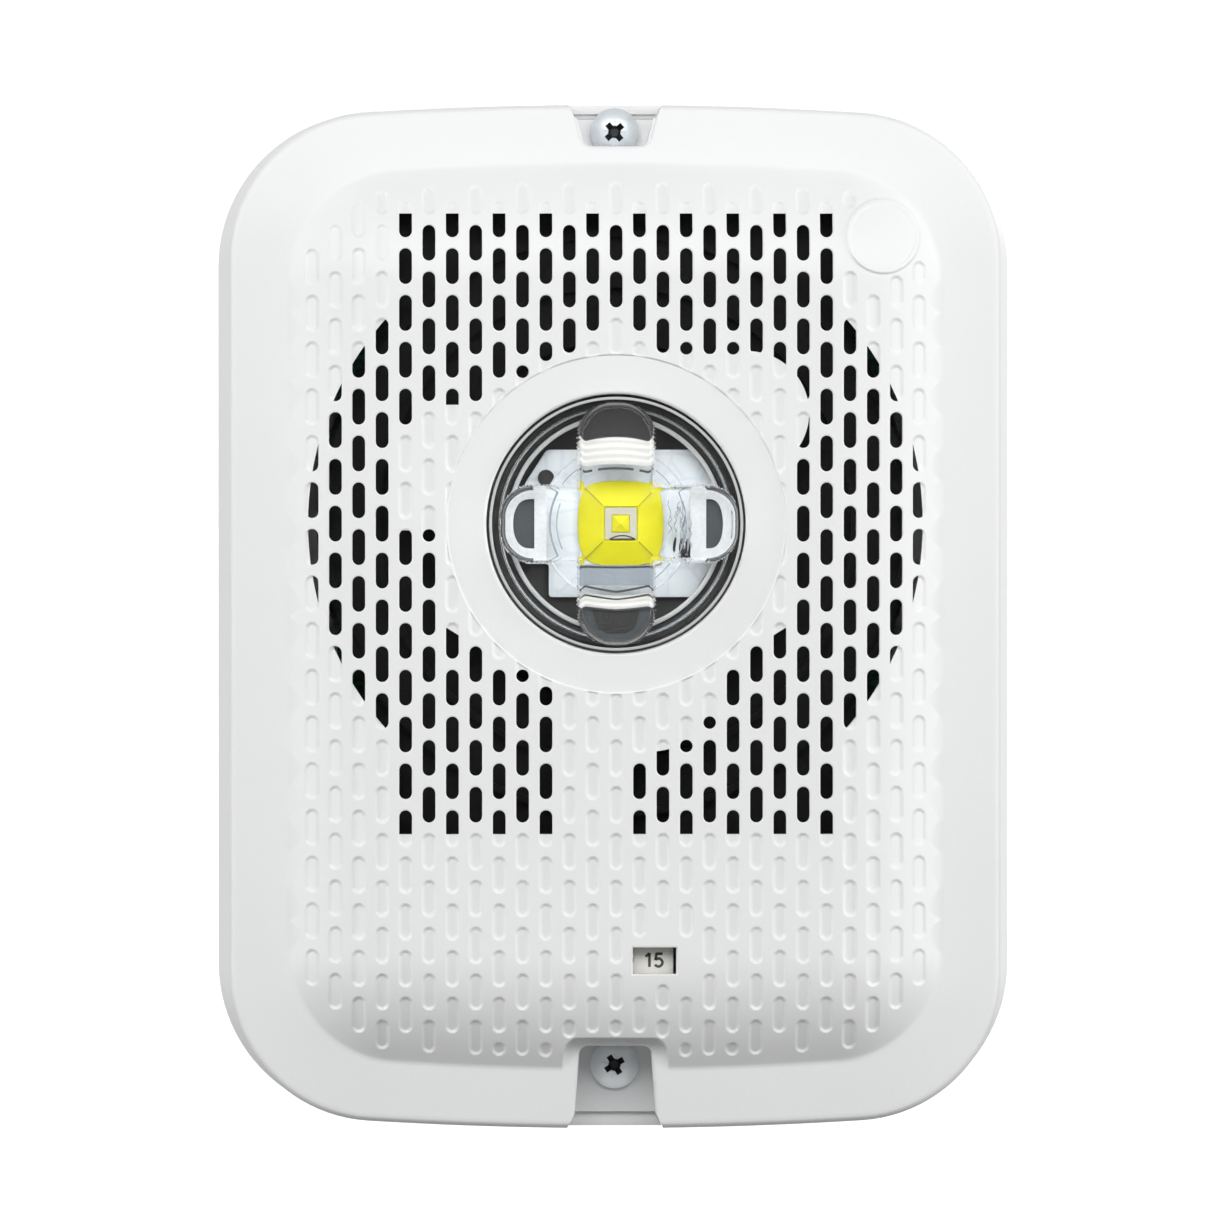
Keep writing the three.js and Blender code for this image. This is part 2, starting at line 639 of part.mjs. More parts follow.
function electronics() {
  const { halfWidth, halfHeight, z0 } = board;
  let made = boxBetween(-halfWidth, -halfHeight, z0, halfWidth, halfHeight, boardFrontZ);
  const { x0, x1, height } = sliderSlot;
  made = made.subtract(
    boxBetween(x0, windowCut.y - height / 2, z0 - 1, x1, windowCut.y + height / 2, boardFrontZ + 1),
  );
  for (let i = 0; i < terminal.count; i++) {
    const hole = boxAt(pinX(i), terminal.pinY, pinSize.width + 0.4, pinSize.thickness + 0.4, z0 - 1, boardFrontZ + 1);
    made = made.subtract(hole);
  }
  piece("main_board", made, greenBoard);

  const headerZ = [rear.z0 - 0.6, z0 - seat];
  let header = boxAt(0, terminal.pinY, headerSize.width, headerSize.height, headerZ[0], headerZ[1]);
  for (let i = 0; i < terminal.count; i++) {
    const hole = boxAt(pinX(i), terminal.pinY, pinSize.width + 0.2, pinSize.thickness + 0.2, 0, 20);
    header = header.subtract(hole);
    const pin = boxAt(pinX(i), terminal.pinY, pinSize.width, pinSize.thickness, pinSize.tipZ, boardFrontZ + 0.3);
    piece(`plug_pin_${i + 1}`, pin, tinnedCopper);
  }
  piece("pin_header", header, darkPlastic);

  // a row of parts midway between the horn and the selector switch
  const partsZ = boardFrontZ + seat;
  const switchTop = windowCut.y + height / 2 + 1.6;
  const rowY = (lens.y - horn.radius + switchTop) / 2;
  piece("flash_capacitor_1", rod(-31, rowY, 5, partsZ, partsZ + 7.4), plastic(0x23262c, 0.35));
  piece("flash_capacitor_2", rod(-19.4, rowY, 5, partsZ, partsZ + 7.4), plastic(0x23262c, 0.35));
  piece("inductor", rod(30, rowY, 5.2, partsZ, partsZ + 5.6), darkPlastic);
  piece("controller_chip", boxAt(5, rowY, 10, 8, partsZ, partsZ + 1.6), darkPlastic);

  // the selector switch that the slider's stem runs through
  const body = boxBetween(
    x0 - 3,
    windowCut.y - height / 2 - 1.6,
    partsZ,
    x1 + 3,
    switchTop,
    partsZ + 4.4,
  ).subtract(boxBetween(x0, windowCut.y - height / 2, 0, x1, windowCut.y + height / 2, 40));
  piece("candela_switch", body, greyPlastic);

  const { x, y, size, bodyZ, shaftRadius } = toneSwitch;
  const housing = boxAt(x, y, size, size, bodyZ, z0 - seat).subtract(
    rod(x, y, shaftRadius + 0.1, bodyZ - 1, z0 - seat - 0.8, 20),
  );
  piece("tone_switch", housing, plastic(0x3c5a8a, 0.5));
}

// Slider with the printed strip at the front, a stem through the board and a handle at the back.
function candelaSlider() {
  const y = windowCut.y;
  const { endX, settings, labelPitch, stripHeight, stripThickness, stripZ, stemX, stemSize, handleZ } = slider;
  const startX = endX - settings * labelPitch;
  const strip = boxBetween(startX, y - stripHeight / 2, stripZ, endX, y + stripHeight / 2, stripZ + stripThickness);
  const stem = boxAt(stemX, y, stemSize, stemSize, rear.z0 - 0.5, stripZ + 0.2);
  const handle = boxAt(stemX, y, stemSize + 2, stemSize + 2.4, handleZ, rear.z0 - gap);
  piece("candela_slider", union([strip, stem, handle]), whitePlastic);
}

// Rotary selector: a slotted knob on a shaft that turns in the switch.
function toneSelector() {
  const { x, y, knobRadius, knobZ, bodyZ, shaftRadius } = toneSwitch;
  const knob = rod(x, y, knobRadius, knobZ, bodyZ - seat, 28)
    .add(rod(x, y, shaftRadius, knobZ + 0.5, bodyZ + 1.3, 20))
    .subtract(boxAt(x, y, 2 * knobRadius - 1.4, 1.0, knobZ - 1, knobZ + 0.7))
    .subtract(boxAt(x + knobRadius - 0.5, y, 1.2, 1.2, knobZ - 1, knobZ + 0.4));
  piece("tone_selector", knob, plastic(0xe9e6da, 0.5));
}

// ---- Rear cover and screws ----------------------------------------------------------------------

function rearCover() {
  const whole = prism(bowedPoints(bezelOutline, rear.inset), rear.z0, rear.rimZ);
  const inner = prism(bowedPoints(bezelOutline, rear.inset + rear.rim), rearFrontZ, rear.rimZ + 1);
  let made = whole.subtract(inner);
  for (const notch of Object.values(notches)) {
    made = made.subtract(notchPrism(notch, notchWall + gap, 0, far));
    const pocket = screw.headRadius + screw.clearance + notchWall + gap;
    made = made.subtract(rod(0, notch.screwY * notch.side, pocket, 0, far));
  }
  made = made.subtract(boxAt(0, terminal.pinY, headerSize.width + 2 * gap, headerSize.height + 2 * gap, 0, 20));
  const { x0, x1, height } = sliderSlot;
  made = made.subtract(boxBetween(x0, windowCut.y - height / 2, 0, x1, windowCut.y + height / 2, 20));
  const size = toneSwitch.size + 2 * gap;
  made = made.subtract(boxAt(toneSwitch.x, toneSwitch.y, size, size, 0, 20));
  for (const sx of [-1, 1]) {
    for (const sy of [-1, 1]) {
      const x = sx * coverScrew.x;
      const y = sy * coverScrew.y;
      made = made.subtract(rod(x, y, coverScrew.shankRadius + gap, 0, 20, 12));
      made = made.subtract(rod(x, y, coverScrew.headRadius + gap, 0, rear.z0 + coverScrew.headHeight - seat, 16));
      // standoffs for the board, inside the screws
      made = made.add(rod(sx * (board.halfWidth - 4), sy * (board.halfHeight - 6), 2.2, rear.z0 + 0.2, board.z0 - seat, 12));
    }
  }
  piece("rear_cover", made, whitePlastic);

  let count = 0;
  for (const sx of [-1, 1]) {
    for (const sy of [-1, 1]) {
      const x = sx * coverScrew.x;
      const y = sy * coverScrew.y;
      const head = rear.z0 + coverScrew.headHeight - 2 * seat;
      const body = rod(x, y, coverScrew.headRadius, rear.z0 - 0.2, head, 16)
        .add(rod(x, y, coverScrew.shankRadius, rear.z0, rear.z0 + coverScrew.length, 12))
        .subtract(boxAt(x, y, 2.6, 0.7, 0, rear.z0 + 0.4))
        .subtract(boxAt(x, y, 0.7, 2.6, 0, rear.z0 + 0.4));
      count += 1;
      piece(`rear_cover_screw_${count}`, body, zincSteel);
    }
  }
  piece("rating_label", boxAt(-22, 32, 34, 22, rear.z0 - 0.25, rear.z0 - seat), plastic(0xf6f6f2, 0.7));
}

// Pan head machine screw with a cross recess, held captive in its notch.
function captiveScrew(name, notch) {
  const y = notch.screwY * notch.side;
  const z0 = notchFloorZ + seat;
  const profile = [
    [0, 0], [screw.headRadius, 0], [screw.headRadius, 0.9], [screw.headRadius * 0.88, 1.6],
    [screw.headRadius * 0.6, 2.0], [0, screw.headHeight],
  ].map(([r, z]) => new THREE.Vector2(r, z));
  const headShape = new THREE.LatheGeometry(profile, 24);
  headShape.rotateX(Math.PI / 2);
  headShape.translate(0, y, z0);
  const top = z0 + screw.headHeight;
  const body = solid(headShape)
    .add(rod(0, y, screw.shankRadius, z0 - screw.length + screw.headHeight, z0 + 0.4, 16))
    .subtract(boxAt(0, y, 3.4, 0.9, top - 1.3, top + 1))
    .subtract(boxAt(0, y, 0.9, 3.4, top - 1.3, top + 1));
  piece(name, body, zincSteel);
}

// ---- Wall plate and terminals -------------------------------------------------------------------

const plateInset = cover.skirtWall + 2 * gap + 0.3; // the skirt leans in a little towards the front

function mountingPlate() {
  let made = prism(bowedPoints(skirtOutline, plateInset), 0, plate.thickness);
  const rim = prism(bowedPoints(skirtOutline, plateInset + 1.2), 0.2, plate.rimZ).subtract(
    prism(bowedPoints(skirtOutline, plateInset + 1.2 + plate.rim), plate.thickness, plate.rimZ + 1),
  );
  made = made.add(rim);
  for (const notch of Object.values(notches)) {
    const y = notch.screwY * notch.side;
    const ends = [(notch.screwY - 4) * notch.side, plate.tabEnd * notch.side].sort((a, b) => a - b);
    made = made.add(boxBetween(-plate.tabHalf, ends[0], 0, plate.tabHalf, ends[1], plate.tabZ));
    made = made.add(rod(0, y, plate.bossRadius, 0.2, plate.rimZ + 1.4, 20));
  }
  for (const side of [-1, 1]) {
    const ys = [side * wireOpening.near, side * wireOpening.far].sort((a, b) => a - b);
    made = made.subtract(
      boxBetween(-wireOpening.halfWidth, ys[0], -1, wireOpening.halfWidth, ys[1], plate.thickness + 1),
    );
    for (const x of [-gangSlot.x, 0, gangSlot.x]) {
      const { width, length, y } = gangSlot;
      made = made.subtract(stadium(x, side * y, width, length, -1, plate.thickness + 1, 5, true));
    }
    // stiffening ribs beside the wire openings
    for (const sx of [-1, 1]) {
      made = made.add(boxAt(sx * 30, side * 30, 1.6, 40, 1, plate.rimZ - 1.6));
    }
  }
  for (const notch of Object.values(notches)) {
    const y = notch.screwY * notch.side;
    made = made.subtract(rod(0, y, screw.shankRadius + 0.15, -1, 12, 16));
    // the rim opens where the cover's notch pocket comes down
    made = made.subtract(
      boxAt(0, y + notch.side * 6, 2 * (notch.outerHalf + notchWall + gap), 24, notchFloorZ - 1.9, 20),
    );
  }
  piece("mounting_plate", made, whitePlastic);
}

function terminals() {
  const { width, height, z0, z1, floor } = block;
  let housing = boxAt(0, terminal.y, width, height, z0, z1);
  const contactZ = z0 + floor + seat;
  for (let i = 0; i < terminal.count; i++) {
    const x = pinX(i);
    housing = housing.subtract(boxAt(x, terminal.y, terminal.wellWidth, terminal.wellHeight, z0 + floor, z1 + 1));
    // wires come in from below through the open side of each well
    housing = housing.subtract(boxAt(x, -height / 2, 4.4, 4, z0 + floor + 1.0, z1 + 1));
  }
  // slot for the shorting spring between the two middle wells
  housing = housing.subtract(boxAt(0, spring.y, terminal.pitch, spring.width + 2 * gap, z1 - spring.depth, z1 + 1));
  piece("terminal_block", housing, darkPlastic);

  for (let i = 0; i < terminal.count; i++) {
    const x = pinX(i);
    const base = boxAt(x, terminal.y, terminal.wellWidth - 2 * gap, terminal.wellHeight - 2 * gap, contactZ, contactZ + contactThickness);
    // two upright leaves that take the plug pin between them
    const leafZ = z1 - 0.6;
    const offset = pinSize.thickness / 2 + 0.1 + 0.25;
    const leaves = [-1, 1].map((s) =>
      boxAt(x, terminal.pinY + s * offset, pinSize.width + 0.6, 0.5, contactZ + 0.1, leafZ),
    );
    piece(`terminal_contact_${i + 1}`, union([base, ...leaves]).subtract(rod(x, terminalScrewY, terminalShankRadius + 0.2, 0, 20, 12)), brass);
    const clampZ = contactZ + contactThickness + 0.6;
    const clamp = boxAt(x, terminalScrewY, 5.8, 5.4, clampZ, clampZ + clampThickness).subtract(
      rod(x, terminalScrewY, terminalShankRadius + 0.2, 0, 20, 12),
    );
    piece(`terminal_clamp_${i + 1}`, clamp, tinnedCopper);
    const headZ = clampZ + clampThickness + seat;
    const body = rod(x, terminalScrewY, terminalScrewRadius, headZ, headZ + 1.5, 16)
      .add(rod(x, terminalScrewY, terminalShankRadius, contactZ, headZ + 0.3, 12))
      .subtract(boxAt(x, terminalScrewY, 3.4, 0.8, headZ + 0.8, headZ + 3))
      .subtract(boxAt(x, terminalScrewY, 0.8, 3.4, headZ + 0.8, headZ + 3));
    piece(`terminal_screw_${i + 1}`, body, zincSteel);
  }
  // leaf that joins the two middle terminals until the detector is plugged in
  const leaf = new THREE.Shape();
  const half = terminal.pitch / 2 - 0.2;
  leaf.moveTo(-half, 0).lineTo(half, 0).lineTo(half, 0.35).lineTo(1.6, 0.75).lineTo(-1.6, 0.75).lineTo(-half, 0.35);
  const geometry = new THREE.ExtrudeGeometry(leaf, { depth: spring.width, bevelEnabled: false });
  geometry.rotateX(Math.PI / 2);
  geometry.translate(0, spring.y + spring.width / 2, z1 - spring.depth + seat);
  piece("shorting_spring", solid(geometry), tinnedCopper);
}

frontCover();
strobeLens();
strobeBaffle();
ledModule();
hornParts();
electronics();
candelaSlider();
toneSelector();
rearCover();
captiveScrew("captive_screw_top", notches.top);
captiveScrew("captive_screw_bottom", notches.bottom);
mountingPlate();
terminals();

root.rotation.x = Math.PI / 2;

export default root;
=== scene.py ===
import math

import bmesh
import bpy
import numpy as np
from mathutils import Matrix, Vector
from mathutils.geometry import delaunay_2d_cdt


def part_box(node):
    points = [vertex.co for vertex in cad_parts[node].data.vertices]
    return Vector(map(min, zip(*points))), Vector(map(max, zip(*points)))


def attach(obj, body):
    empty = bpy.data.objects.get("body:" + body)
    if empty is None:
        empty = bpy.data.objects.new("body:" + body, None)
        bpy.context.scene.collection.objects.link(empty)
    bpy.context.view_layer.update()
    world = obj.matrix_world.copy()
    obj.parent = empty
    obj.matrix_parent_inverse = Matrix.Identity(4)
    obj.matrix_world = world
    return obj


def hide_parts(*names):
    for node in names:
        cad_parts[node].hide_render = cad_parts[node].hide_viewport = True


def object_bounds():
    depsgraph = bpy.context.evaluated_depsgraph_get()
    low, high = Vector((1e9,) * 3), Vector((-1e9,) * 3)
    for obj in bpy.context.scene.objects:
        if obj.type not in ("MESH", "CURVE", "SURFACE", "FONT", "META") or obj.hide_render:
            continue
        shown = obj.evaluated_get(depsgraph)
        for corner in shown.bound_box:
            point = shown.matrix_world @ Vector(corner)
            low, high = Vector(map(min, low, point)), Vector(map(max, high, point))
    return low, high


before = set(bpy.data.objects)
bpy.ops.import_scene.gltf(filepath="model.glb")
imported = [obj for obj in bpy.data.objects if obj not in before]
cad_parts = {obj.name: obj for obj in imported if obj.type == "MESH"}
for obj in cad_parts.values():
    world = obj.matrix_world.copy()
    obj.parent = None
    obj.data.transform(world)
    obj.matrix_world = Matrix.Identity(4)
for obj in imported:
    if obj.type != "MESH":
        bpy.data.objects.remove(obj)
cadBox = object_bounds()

# Pieces are worked out in millimetres as seen from the front: x right, y up, z out of the wall.
mm = 0.001


def placed(points):
    # from the front view's x, y, z in millimetres to the frame's metres
    p = np.asarray(points, float)
    return np.stack([p[..., 0], -p[..., 2], p[..., 1]], -1) * mm


def fromFrame(corner):
    # the other way round, for the corners of a CAD node's box
    return np.array([corner[0], corner[2], -corner[1]]) / mm


def cadSize(node):
    # lowest and highest corner of a CAD node in the front view's millimetres
    low, high = (fromFrame(c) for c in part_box(node))
    return np.minimum(low, high), np.maximum(low, high)


cameraSetup = dict(distance=1.8, turn=-0.9, rise=0.8, across=0.1674, aimX=-1.25, aimZ=1.42, aimDepth=6.0)


def makeCamera(look=cameraSetup):
    low, high = (np.array(c) for c in cadBox)
    middle = (low + high) / 2
    data = bpy.data.cameras.new("camera")
    camera = bpy.data.objects.new("camera", data)
    bpy.context.scene.collection.objects.link(camera)
    turn, rise = math.radians(look["turn"]), math.radians(look["rise"])
    away = Vector((math.sin(turn) * math.cos(rise), -math.cos(turn) * math.cos(rise), math.sin(rise)))
    aim = Vector((middle[0], low[1], middle[2]))
    aim += Vector((look["aimX"], look["aimDepth"], look["aimZ"])) * mm
    camera.location = aim + away * look["distance"]
    camera.rotation_euler = (-away).to_track_quat("-Z", "Y").to_euler()
    data.sensor_width = 36
    data.lens = data.sensor_width * look["distance"] / look["across"]
    data.clip_start, data.clip_end = 0.01, 20
    bpy.context.scene.camera = camera


lightSetup = dict(
    ambient=0.2,
    lights=dict(
        key=dict(place=(0.0, -0.62, 0.31), width=1.3, height=0.3, power=4.7),
        left=dict(place=(-1.0, -0.2, 0.1), width=0.5, height=0.7, power=3.2),
        right=dict(place=(1.0, -0.2, 0.1), width=0.5, height=0.7, power=4.3),
        back=dict(place=(0.4, 1.2, 0.6), width=0.9, height=0.7, power=9.0),
    ),
)


def makeLights(look=lightSetup):
    world = bpy.data.worlds.new("studio")
    world.use_nodes = True
    world.node_tree.nodes["Background"].inputs["Color"].default_value = (1, 1, 1, 1)
    world.node_tree.nodes["Background"].inputs["Strength"].default_value = look["ambient"]
    bpy.context.scene.world = world
    for name, one in look["lights"].items():
        data = bpy.data.lights.new(name, "AREA")
        data.shape = "RECTANGLE"
        data.size, data.size_y = one["width"], one["height"]
        data.energy = one["power"]
        light = bpy.data.objects.new(name, data)
        light.location = one["place"]
        light.rotation_euler = (-Vector(one["place"])).to_track_quat("-Z", "Y").to_euler()
        bpy.context.scene.collection.objects.link(light)
    view = bpy.context.scene.view_settings
    view.view_transform = "Standard"
    view.look = "None"
    view.exposure = 0.0


class Wire:
    # a socket that can be added, multiplied and so on; every sum is a Math node
    def __init__(self, maker, socket):
        self.maker, self.socket = maker, socket

    def maths(self, operation, other=None, swap=False):
        values = [self] if other is None else [other, self] if swap else [self, other]
        return self.maker.node("ShaderNodeMath", {"operation": operation}, dict(enumerate(values)))

    def __add__(self, other): return self.maths("ADD", other)
    def __radd__(self, other): return self.maths("ADD", other, True)
    def __sub__(self, other): return self.maths("SUBTRACT", other)
    def __rsub__(self, other): return self.maths("SUBTRACT", other, True)
    def __mul__(self, other): return self.maths("MULTIPLY", other)
    def __rmul__(self, other): return self.maths("MULTIPLY", other, True)
    def __truediv__(self, other): return self.maths("DIVIDE", other)
    def __pow__(self, other): return self.maths("POWER", other)
    def __gt__(self, other): return self.maths("GREATER_THAN", other)
    def __lt__(self, other): return self.maths("LESS_THAN", other)


class Finish:
    # one material and its nodes
    def __init__(self, name, slot):
        self.material = bpy.data.materials.new(name)
        self.material.use_nodes = True
        self.slot = slot
        self.tree = self.material.node_tree
        self.shader = self.tree.nodes["Principled BSDF"]
        self.place = Wire(self, self.tree.nodes.new("ShaderNodeTexCoord").outputs["Object"])

    def node(self, kind, settings=None, values=None, output=0):
        made = self.tree.nodes.new(kind)
        for name, value in (settings or {}).items():
            if name == "stops":
                self.setStops(made.color_ramp, value)
            else:
                setattr(made, name, value)
        self.feed(made, values or {})
        return Wire(self, made.outputs[output])

    def feed(self, made, values):
        for name, value in values.items():
            if isinstance(value, Wire):
                self.tree.links.new(value.socket, made.inputs[name])
            else:
                made.inputs[name].default_value = value

    def setStops(self, ramp, stops):
        while len(ramp.elements) < len(stops):
            ramp.elements.new(0.5)
        for element, (at, colour) in zip(ramp.elements, stops):
            element.position = at
            element.color = colour if len(colour) == 4 else (*colour, 1)

    def noise(self, scale, detail=2.0, roughness=0.5, stretch=None):
        # scale is in features per metre
        where = self.place
        if stretch:
            where = self.node("ShaderNodeMapping", None, {"Vector": where, "Scale": stretch})
        return self.node("ShaderNodeTexNoise", None,
                         {"Vector": where, "Scale": scale, "Detail": detail, "Roughness": roughness})

    def blend(self, share, first, second):
        # colours through a Mix node
        made = self.tree.nodes.new("ShaderNodeMix")
        made.data_type = "RGBA"
        for socket, value in ((made.inputs[0], share), (made.inputs[6], first), (made.inputs[7], second)):
            if isinstance(value, Wire):
                self.tree.links.new(value.socket, socket)
            else:
                short = isinstance(value, tuple) and len(value) == 3
                socket.default_value = (*value, 1) if short else value
        return Wire(self, made.outputs[2])

    def bump(self, height, strength, distance):
        return self.node("ShaderNodeBump", None,
                         {"Height": height, "Strength": strength, "Distance": distance})

    def finish(self, **values):
        names = {"colour": "Base Color", "roughness": "Roughness", "metallic": "Metallic", "normal": "Normal",
                 "ior": "IOR", "transmission": "Transmission Weight", "specular": "Specular IOR Level",
                 "emission": "Emission Color", "emissionStrength": "Emission Strength"}
        for name, value in values.items():
            if isinstance(value, tuple) and len(value) == 3:
                value = (*value, 1)
            self.feed(self.shader, {names[name]: value})
        return self


def mouldedWhite():
    # white polycarbonate with a fine spark-eroded texture
    f = Finish("mouldedWhite", "cover_white")
    cloud = f.noise(38, 3)
    speck = f.noise(5200, 1.0)
    grain = f.noise(2600, 2.0, 0.6)
    tone = f.blend(cloud, (0.855, 0.862, 0.868), (0.90, 0.903, 0.905))
    tone = f.blend((speck > 0.735) * 0.10, tone, (0.62, 0.62, 0.61))
    return f.finish(
        colour=tone,
        roughness=0.36 + 0.10 * cloud + 0.05 * grain,
        normal=f.bump(grain, 0.09, 0.0002),
        specular=0.45,
    )


def plateWhite():
    # the same resin on the wall plate, a little duller, with flow marks
    f = Finish("plateWhite", "cover_white")
    flow = f.noise(26, 4, 0.55, stretch=(1.0, 1.0, 0.3))
    grain = f.noise(1500, 3.0, 0.6)
    tone = f.blend(flow, (0.80, 0.805, 0.80), (0.88, 0.88, 0.872))
    return f.finish(
        colour=tone,
        roughness=0.46 + 0.12 * flow + 0.06 * grain,
        normal=f.bump(grain, 0.14, 0.0003),
        specular=0.4,
    )


def clearResin():
    # optical polycarbonate
    f = Finish("clearResin", "lens_clear")
    haze = f.noise(900, 2.0)
    return f.finish(
        colour=(0.985, 0.992, 0.995),
        roughness=0.0 + 0.02 * haze,
        ior=1.36,
        transmission=1.0,
    )


def darkMoulding(name="darkMoulding", first=(0.008, 0.0075, 0.007), second=(0.016, 0.015, 0.014)):
    f = Finish(name, "dark_plastic")
    cloud = f.noise(60, 3)
    grain = f.noise(1900, 2.0, 0.6)
    return f.finish(
        colour=f.blend(cloud, first, second),
        roughness=0.5 + 0.15 * grain,
        normal=f.bump(grain, 0.2, 0.0003),
    )


def boardWhite():
    # white solder mask with faint copper pours under it
    f = Finish("boardWhite", "led_board_white")
    cells = f.node("ShaderNodeTexVoronoi", {"feature": "DISTANCE_TO_EDGE"},
                   {"Vector": f.place, "Scale": 260.0})
    grain = f.noise(1400, 2.0)
    tone = f.blend(cells < 0.05, (0.88, 0.94, 0.98), (0.78, 0.86, 0.93))
    tone = f.blend(grain * 0.3, tone, (0.92, 0.96, 1.0))
    return f.finish(colour=tone, roughness=0.32 + 0.1 * grain, normal=f.bump(grain, 0.1, 0.0002))


def packageWhite():
    f = Finish("packageWhite", "led_package")
    grain = f.noise(2400, 3.0)
    tone = f.blend(grain, (0.78, 0.80, 0.82), (0.88, 0.89, 0.90))
    return f.finish(colour=tone, roughness=0.35 + 0.15 * grain, normal=f.bump(grain, 0.12, 0.0001))


def yellowPhosphor():
    f = Finish("yellowPhosphor", "phosphor")
    cloud = f.noise(420, 4, 0.6)
    tone = f.blend(cloud, (0.82, 0.76, 0.006), (0.93, 0.88, 0.025))
    return f.finish(
        colour=tone,
        roughness=0.28 + 0.12 * cloud,
        normal=f.bump(cloud, 0.1, 0.0002),
    )


def zincPlate(name="zincPlate", recess=None, dull=(0.70, 0.77, 0.81), bright=(0.90, 0.94, 0.965)):
    # bright zinc with fine turning marks; recess is the height, depth and radius of a screw's cross, inside
    # which painted shade colours the zinc near black
    f = Finish(name, "zinc_steel")
    cloud = f.noise(700, 4, 0.6)
    marks = f.noise(1800, 3.0, 0.6, stretch=(1.0, 1.0, 6.0))
    tone = f.blend(cloud, dull, bright)
    if recess:
        y, depth, radius = recess
        across = f.node("ShaderNodeSeparateXYZ", None, {"Vector": f.place}, 0)
        along = f.node("ShaderNodeSeparateXYZ", None, {"Vector": f.place}, 1)
        up = f.node("ShaderNodeSeparateXYZ", None, {"Vector": f.place}, 2) - y * mm
        # painted shade: inside the cross, below its rim, the zinc is coloured near black
        inside = (across * across + up * up < (radius * mm) ** 2) * (along > -depth * mm)
        tone = f.blend(inside, tone, (0.035, 0.042, 0.048))
    return f.finish(
        colour=tone,
        metallic=0.12 + 0.2 * cloud,
        roughness=0.3 + 0.16 * marks,
        normal=f.bump(marks, 0.15, 0.0001),
    )


def brightMetal(name, slot, first, second, rough=0.25):
    f = Finish(name, slot)
    cloud = f.noise(380, 4, 0.6)
    marks = f.noise(1400, 2.0, 0.6, stretch=(1.0, 5.0, 1.0))
    return f.finish(
        colour=f.blend(cloud, first, second),
        metallic=1.0,
        roughness=rough + 0.16 * marks,
        normal=f.bump(marks, 0.12, 0.0001),
    )


def boardGreen():
    # green solder mask over copper tracks
    f = Finish("boardGreen", "circuit_board")
    tracks = f.node("ShaderNodeTexBrick", {"offset": 0.37, "squash": 0.6},
                    {"Vector": f.node("ShaderNodeMapping", None,
                                      {"Vector": f.place, "Rotation": (math.radians(90), 0, 0)}),
                     "Scale": 160.0, "Mortar Size": 0.06, "Mortar Smooth": 0.2}, 1)
    grain = f.noise(900, 3)
    tone = f.blend(tracks, (0.010, 0.075, 0.035), (0.02, 0.16, 0.075))
    return f.finish(
        colour=f.blend(grain * 0.2, tone, (0.03, 0.20, 0.10)),
        roughness=0.3 + 0.12 * grain,
        normal=f.bump(tracks, 0.25, 0.0002),
    )


def tintedMoulding(name, slot, first, second, rough=0.42):
    f = Finish(name, slot)
    cloud = f.noise(90, 3)
    grain = f.noise(1800, 2.0, 0.6)
    return f.finish(
        colour=f.blend(cloud, first, second),
        roughness=rough + 0.15 * grain,
        normal=f.bump(grain, 0.15, 0.0003),
    )


def labelStock():
    # matt label paper with faint fibres
    f = Finish("labelStock", "label_paper")
    fibres = f.noise(1200, 5, 0.7, stretch=(1.0, 1.0, 0.2))
    return f.finish(
        colour=f.blend(fibres, (0.78, 0.78, 0.77), (0.90, 0.90, 0.885)),
        roughness=0.6 + 0.2 * fibres,
        normal=f.bump(fibres, 0.2, 0.0002),
    )


finishes = dict(
    white=mouldedWhite(),
    plate=plateWhite(),
    clear=clearResin(),
    dark=darkMoulding(),
    cup=darkMoulding("cupMoulding", (0.014, 0.014, 0.014), (0.024, 0.024, 0.025)),
    slate=darkMoulding("slateMoulding", (0.030, 0.036, 0.041), (0.052, 0.061, 0.068)),
    board=boardWhite(),
    package=packageWhite(),
    phosphor=yellowPhosphor(),
    zinc=zincPlate(),
    brass=brightMetal("brassSheet", "brass", (0.62, 0.44, 0.15), (0.80, 0.62, 0.27)),
    tin=brightMetal("tinPlate", "tinned_copper", (0.66, 0.65, 0.62), (0.82, 0.81, 0.78), 0.22),
    ceramic=tintedMoulding("silveredCeramic", "piezo_ceramic", (0.70, 0.67, 0.60), (0.82, 0.80, 0.74)),
    green=boardGreen(),
    sleeve=tintedMoulding("capacitorSleeve", "capacitor_sleeve", (0.012, 0.013, 0.02),
                          (0.03, 0.032, 0.045), 0.25),
    grey=tintedMoulding("greyMoulding", "grey_plastic", (0.36, 0.37, 0.37), (0.46, 0.47, 0.46)),
    blue=tintedMoulding("blueMoulding", "blue_plastic", (0.022, 0.055, 0.16), (0.04, 0.085, 0.22)),
    ivory=tintedMoulding("ivoryMoulding", "ivory_plastic", (0.72, 0.68, 0.55), (0.82, 0.78, 0.66)),
    label=labelStock(),
    # the strip's ivory is lighter than the cover's white: painted light that makes up for the shade in its
    # deep window
    ivoryStrip=tintedMoulding("stripMoulding", "cover_white", (0.90, 0.885, 0.83), (0.97, 0.955, 0.90)),
    milky=tintedMoulding("milkyResin", "lens_clear", (0.56, 0.585, 0.60), (0.68, 0.70, 0.71), 0.2),
    ink=darkMoulding("ink", (0.06, 0.061, 0.064), (0.085, 0.086, 0.09)),
    band=tintedMoulding("bandResin", "lens_clear", (0.60, 0.595, 0.57), (0.72, 0.715, 0.69), 0.15),
    pale=tintedMoulding("paleResin", "lens_clear", (0.50, 0.51, 0.51), (0.62, 0.63, 0.63), 0.25),
    ash=tintedMoulding("ashResin", "dark_plastic", (0.24, 0.275, 0.31), (0.32, 0.36, 0.40), 0.25),
    chip=tintedMoulding("chipResin", "led_package", (0.52, 0.52, 0.42), (0.64, 0.63, 0.52), 0.25),
    ochre=tintedMoulding("ochreResin", "phosphor", (0.30, 0.27, 0.02), (0.42, 0.38, 0.04), 0.4),
)
print("finishes:", len(finishes))


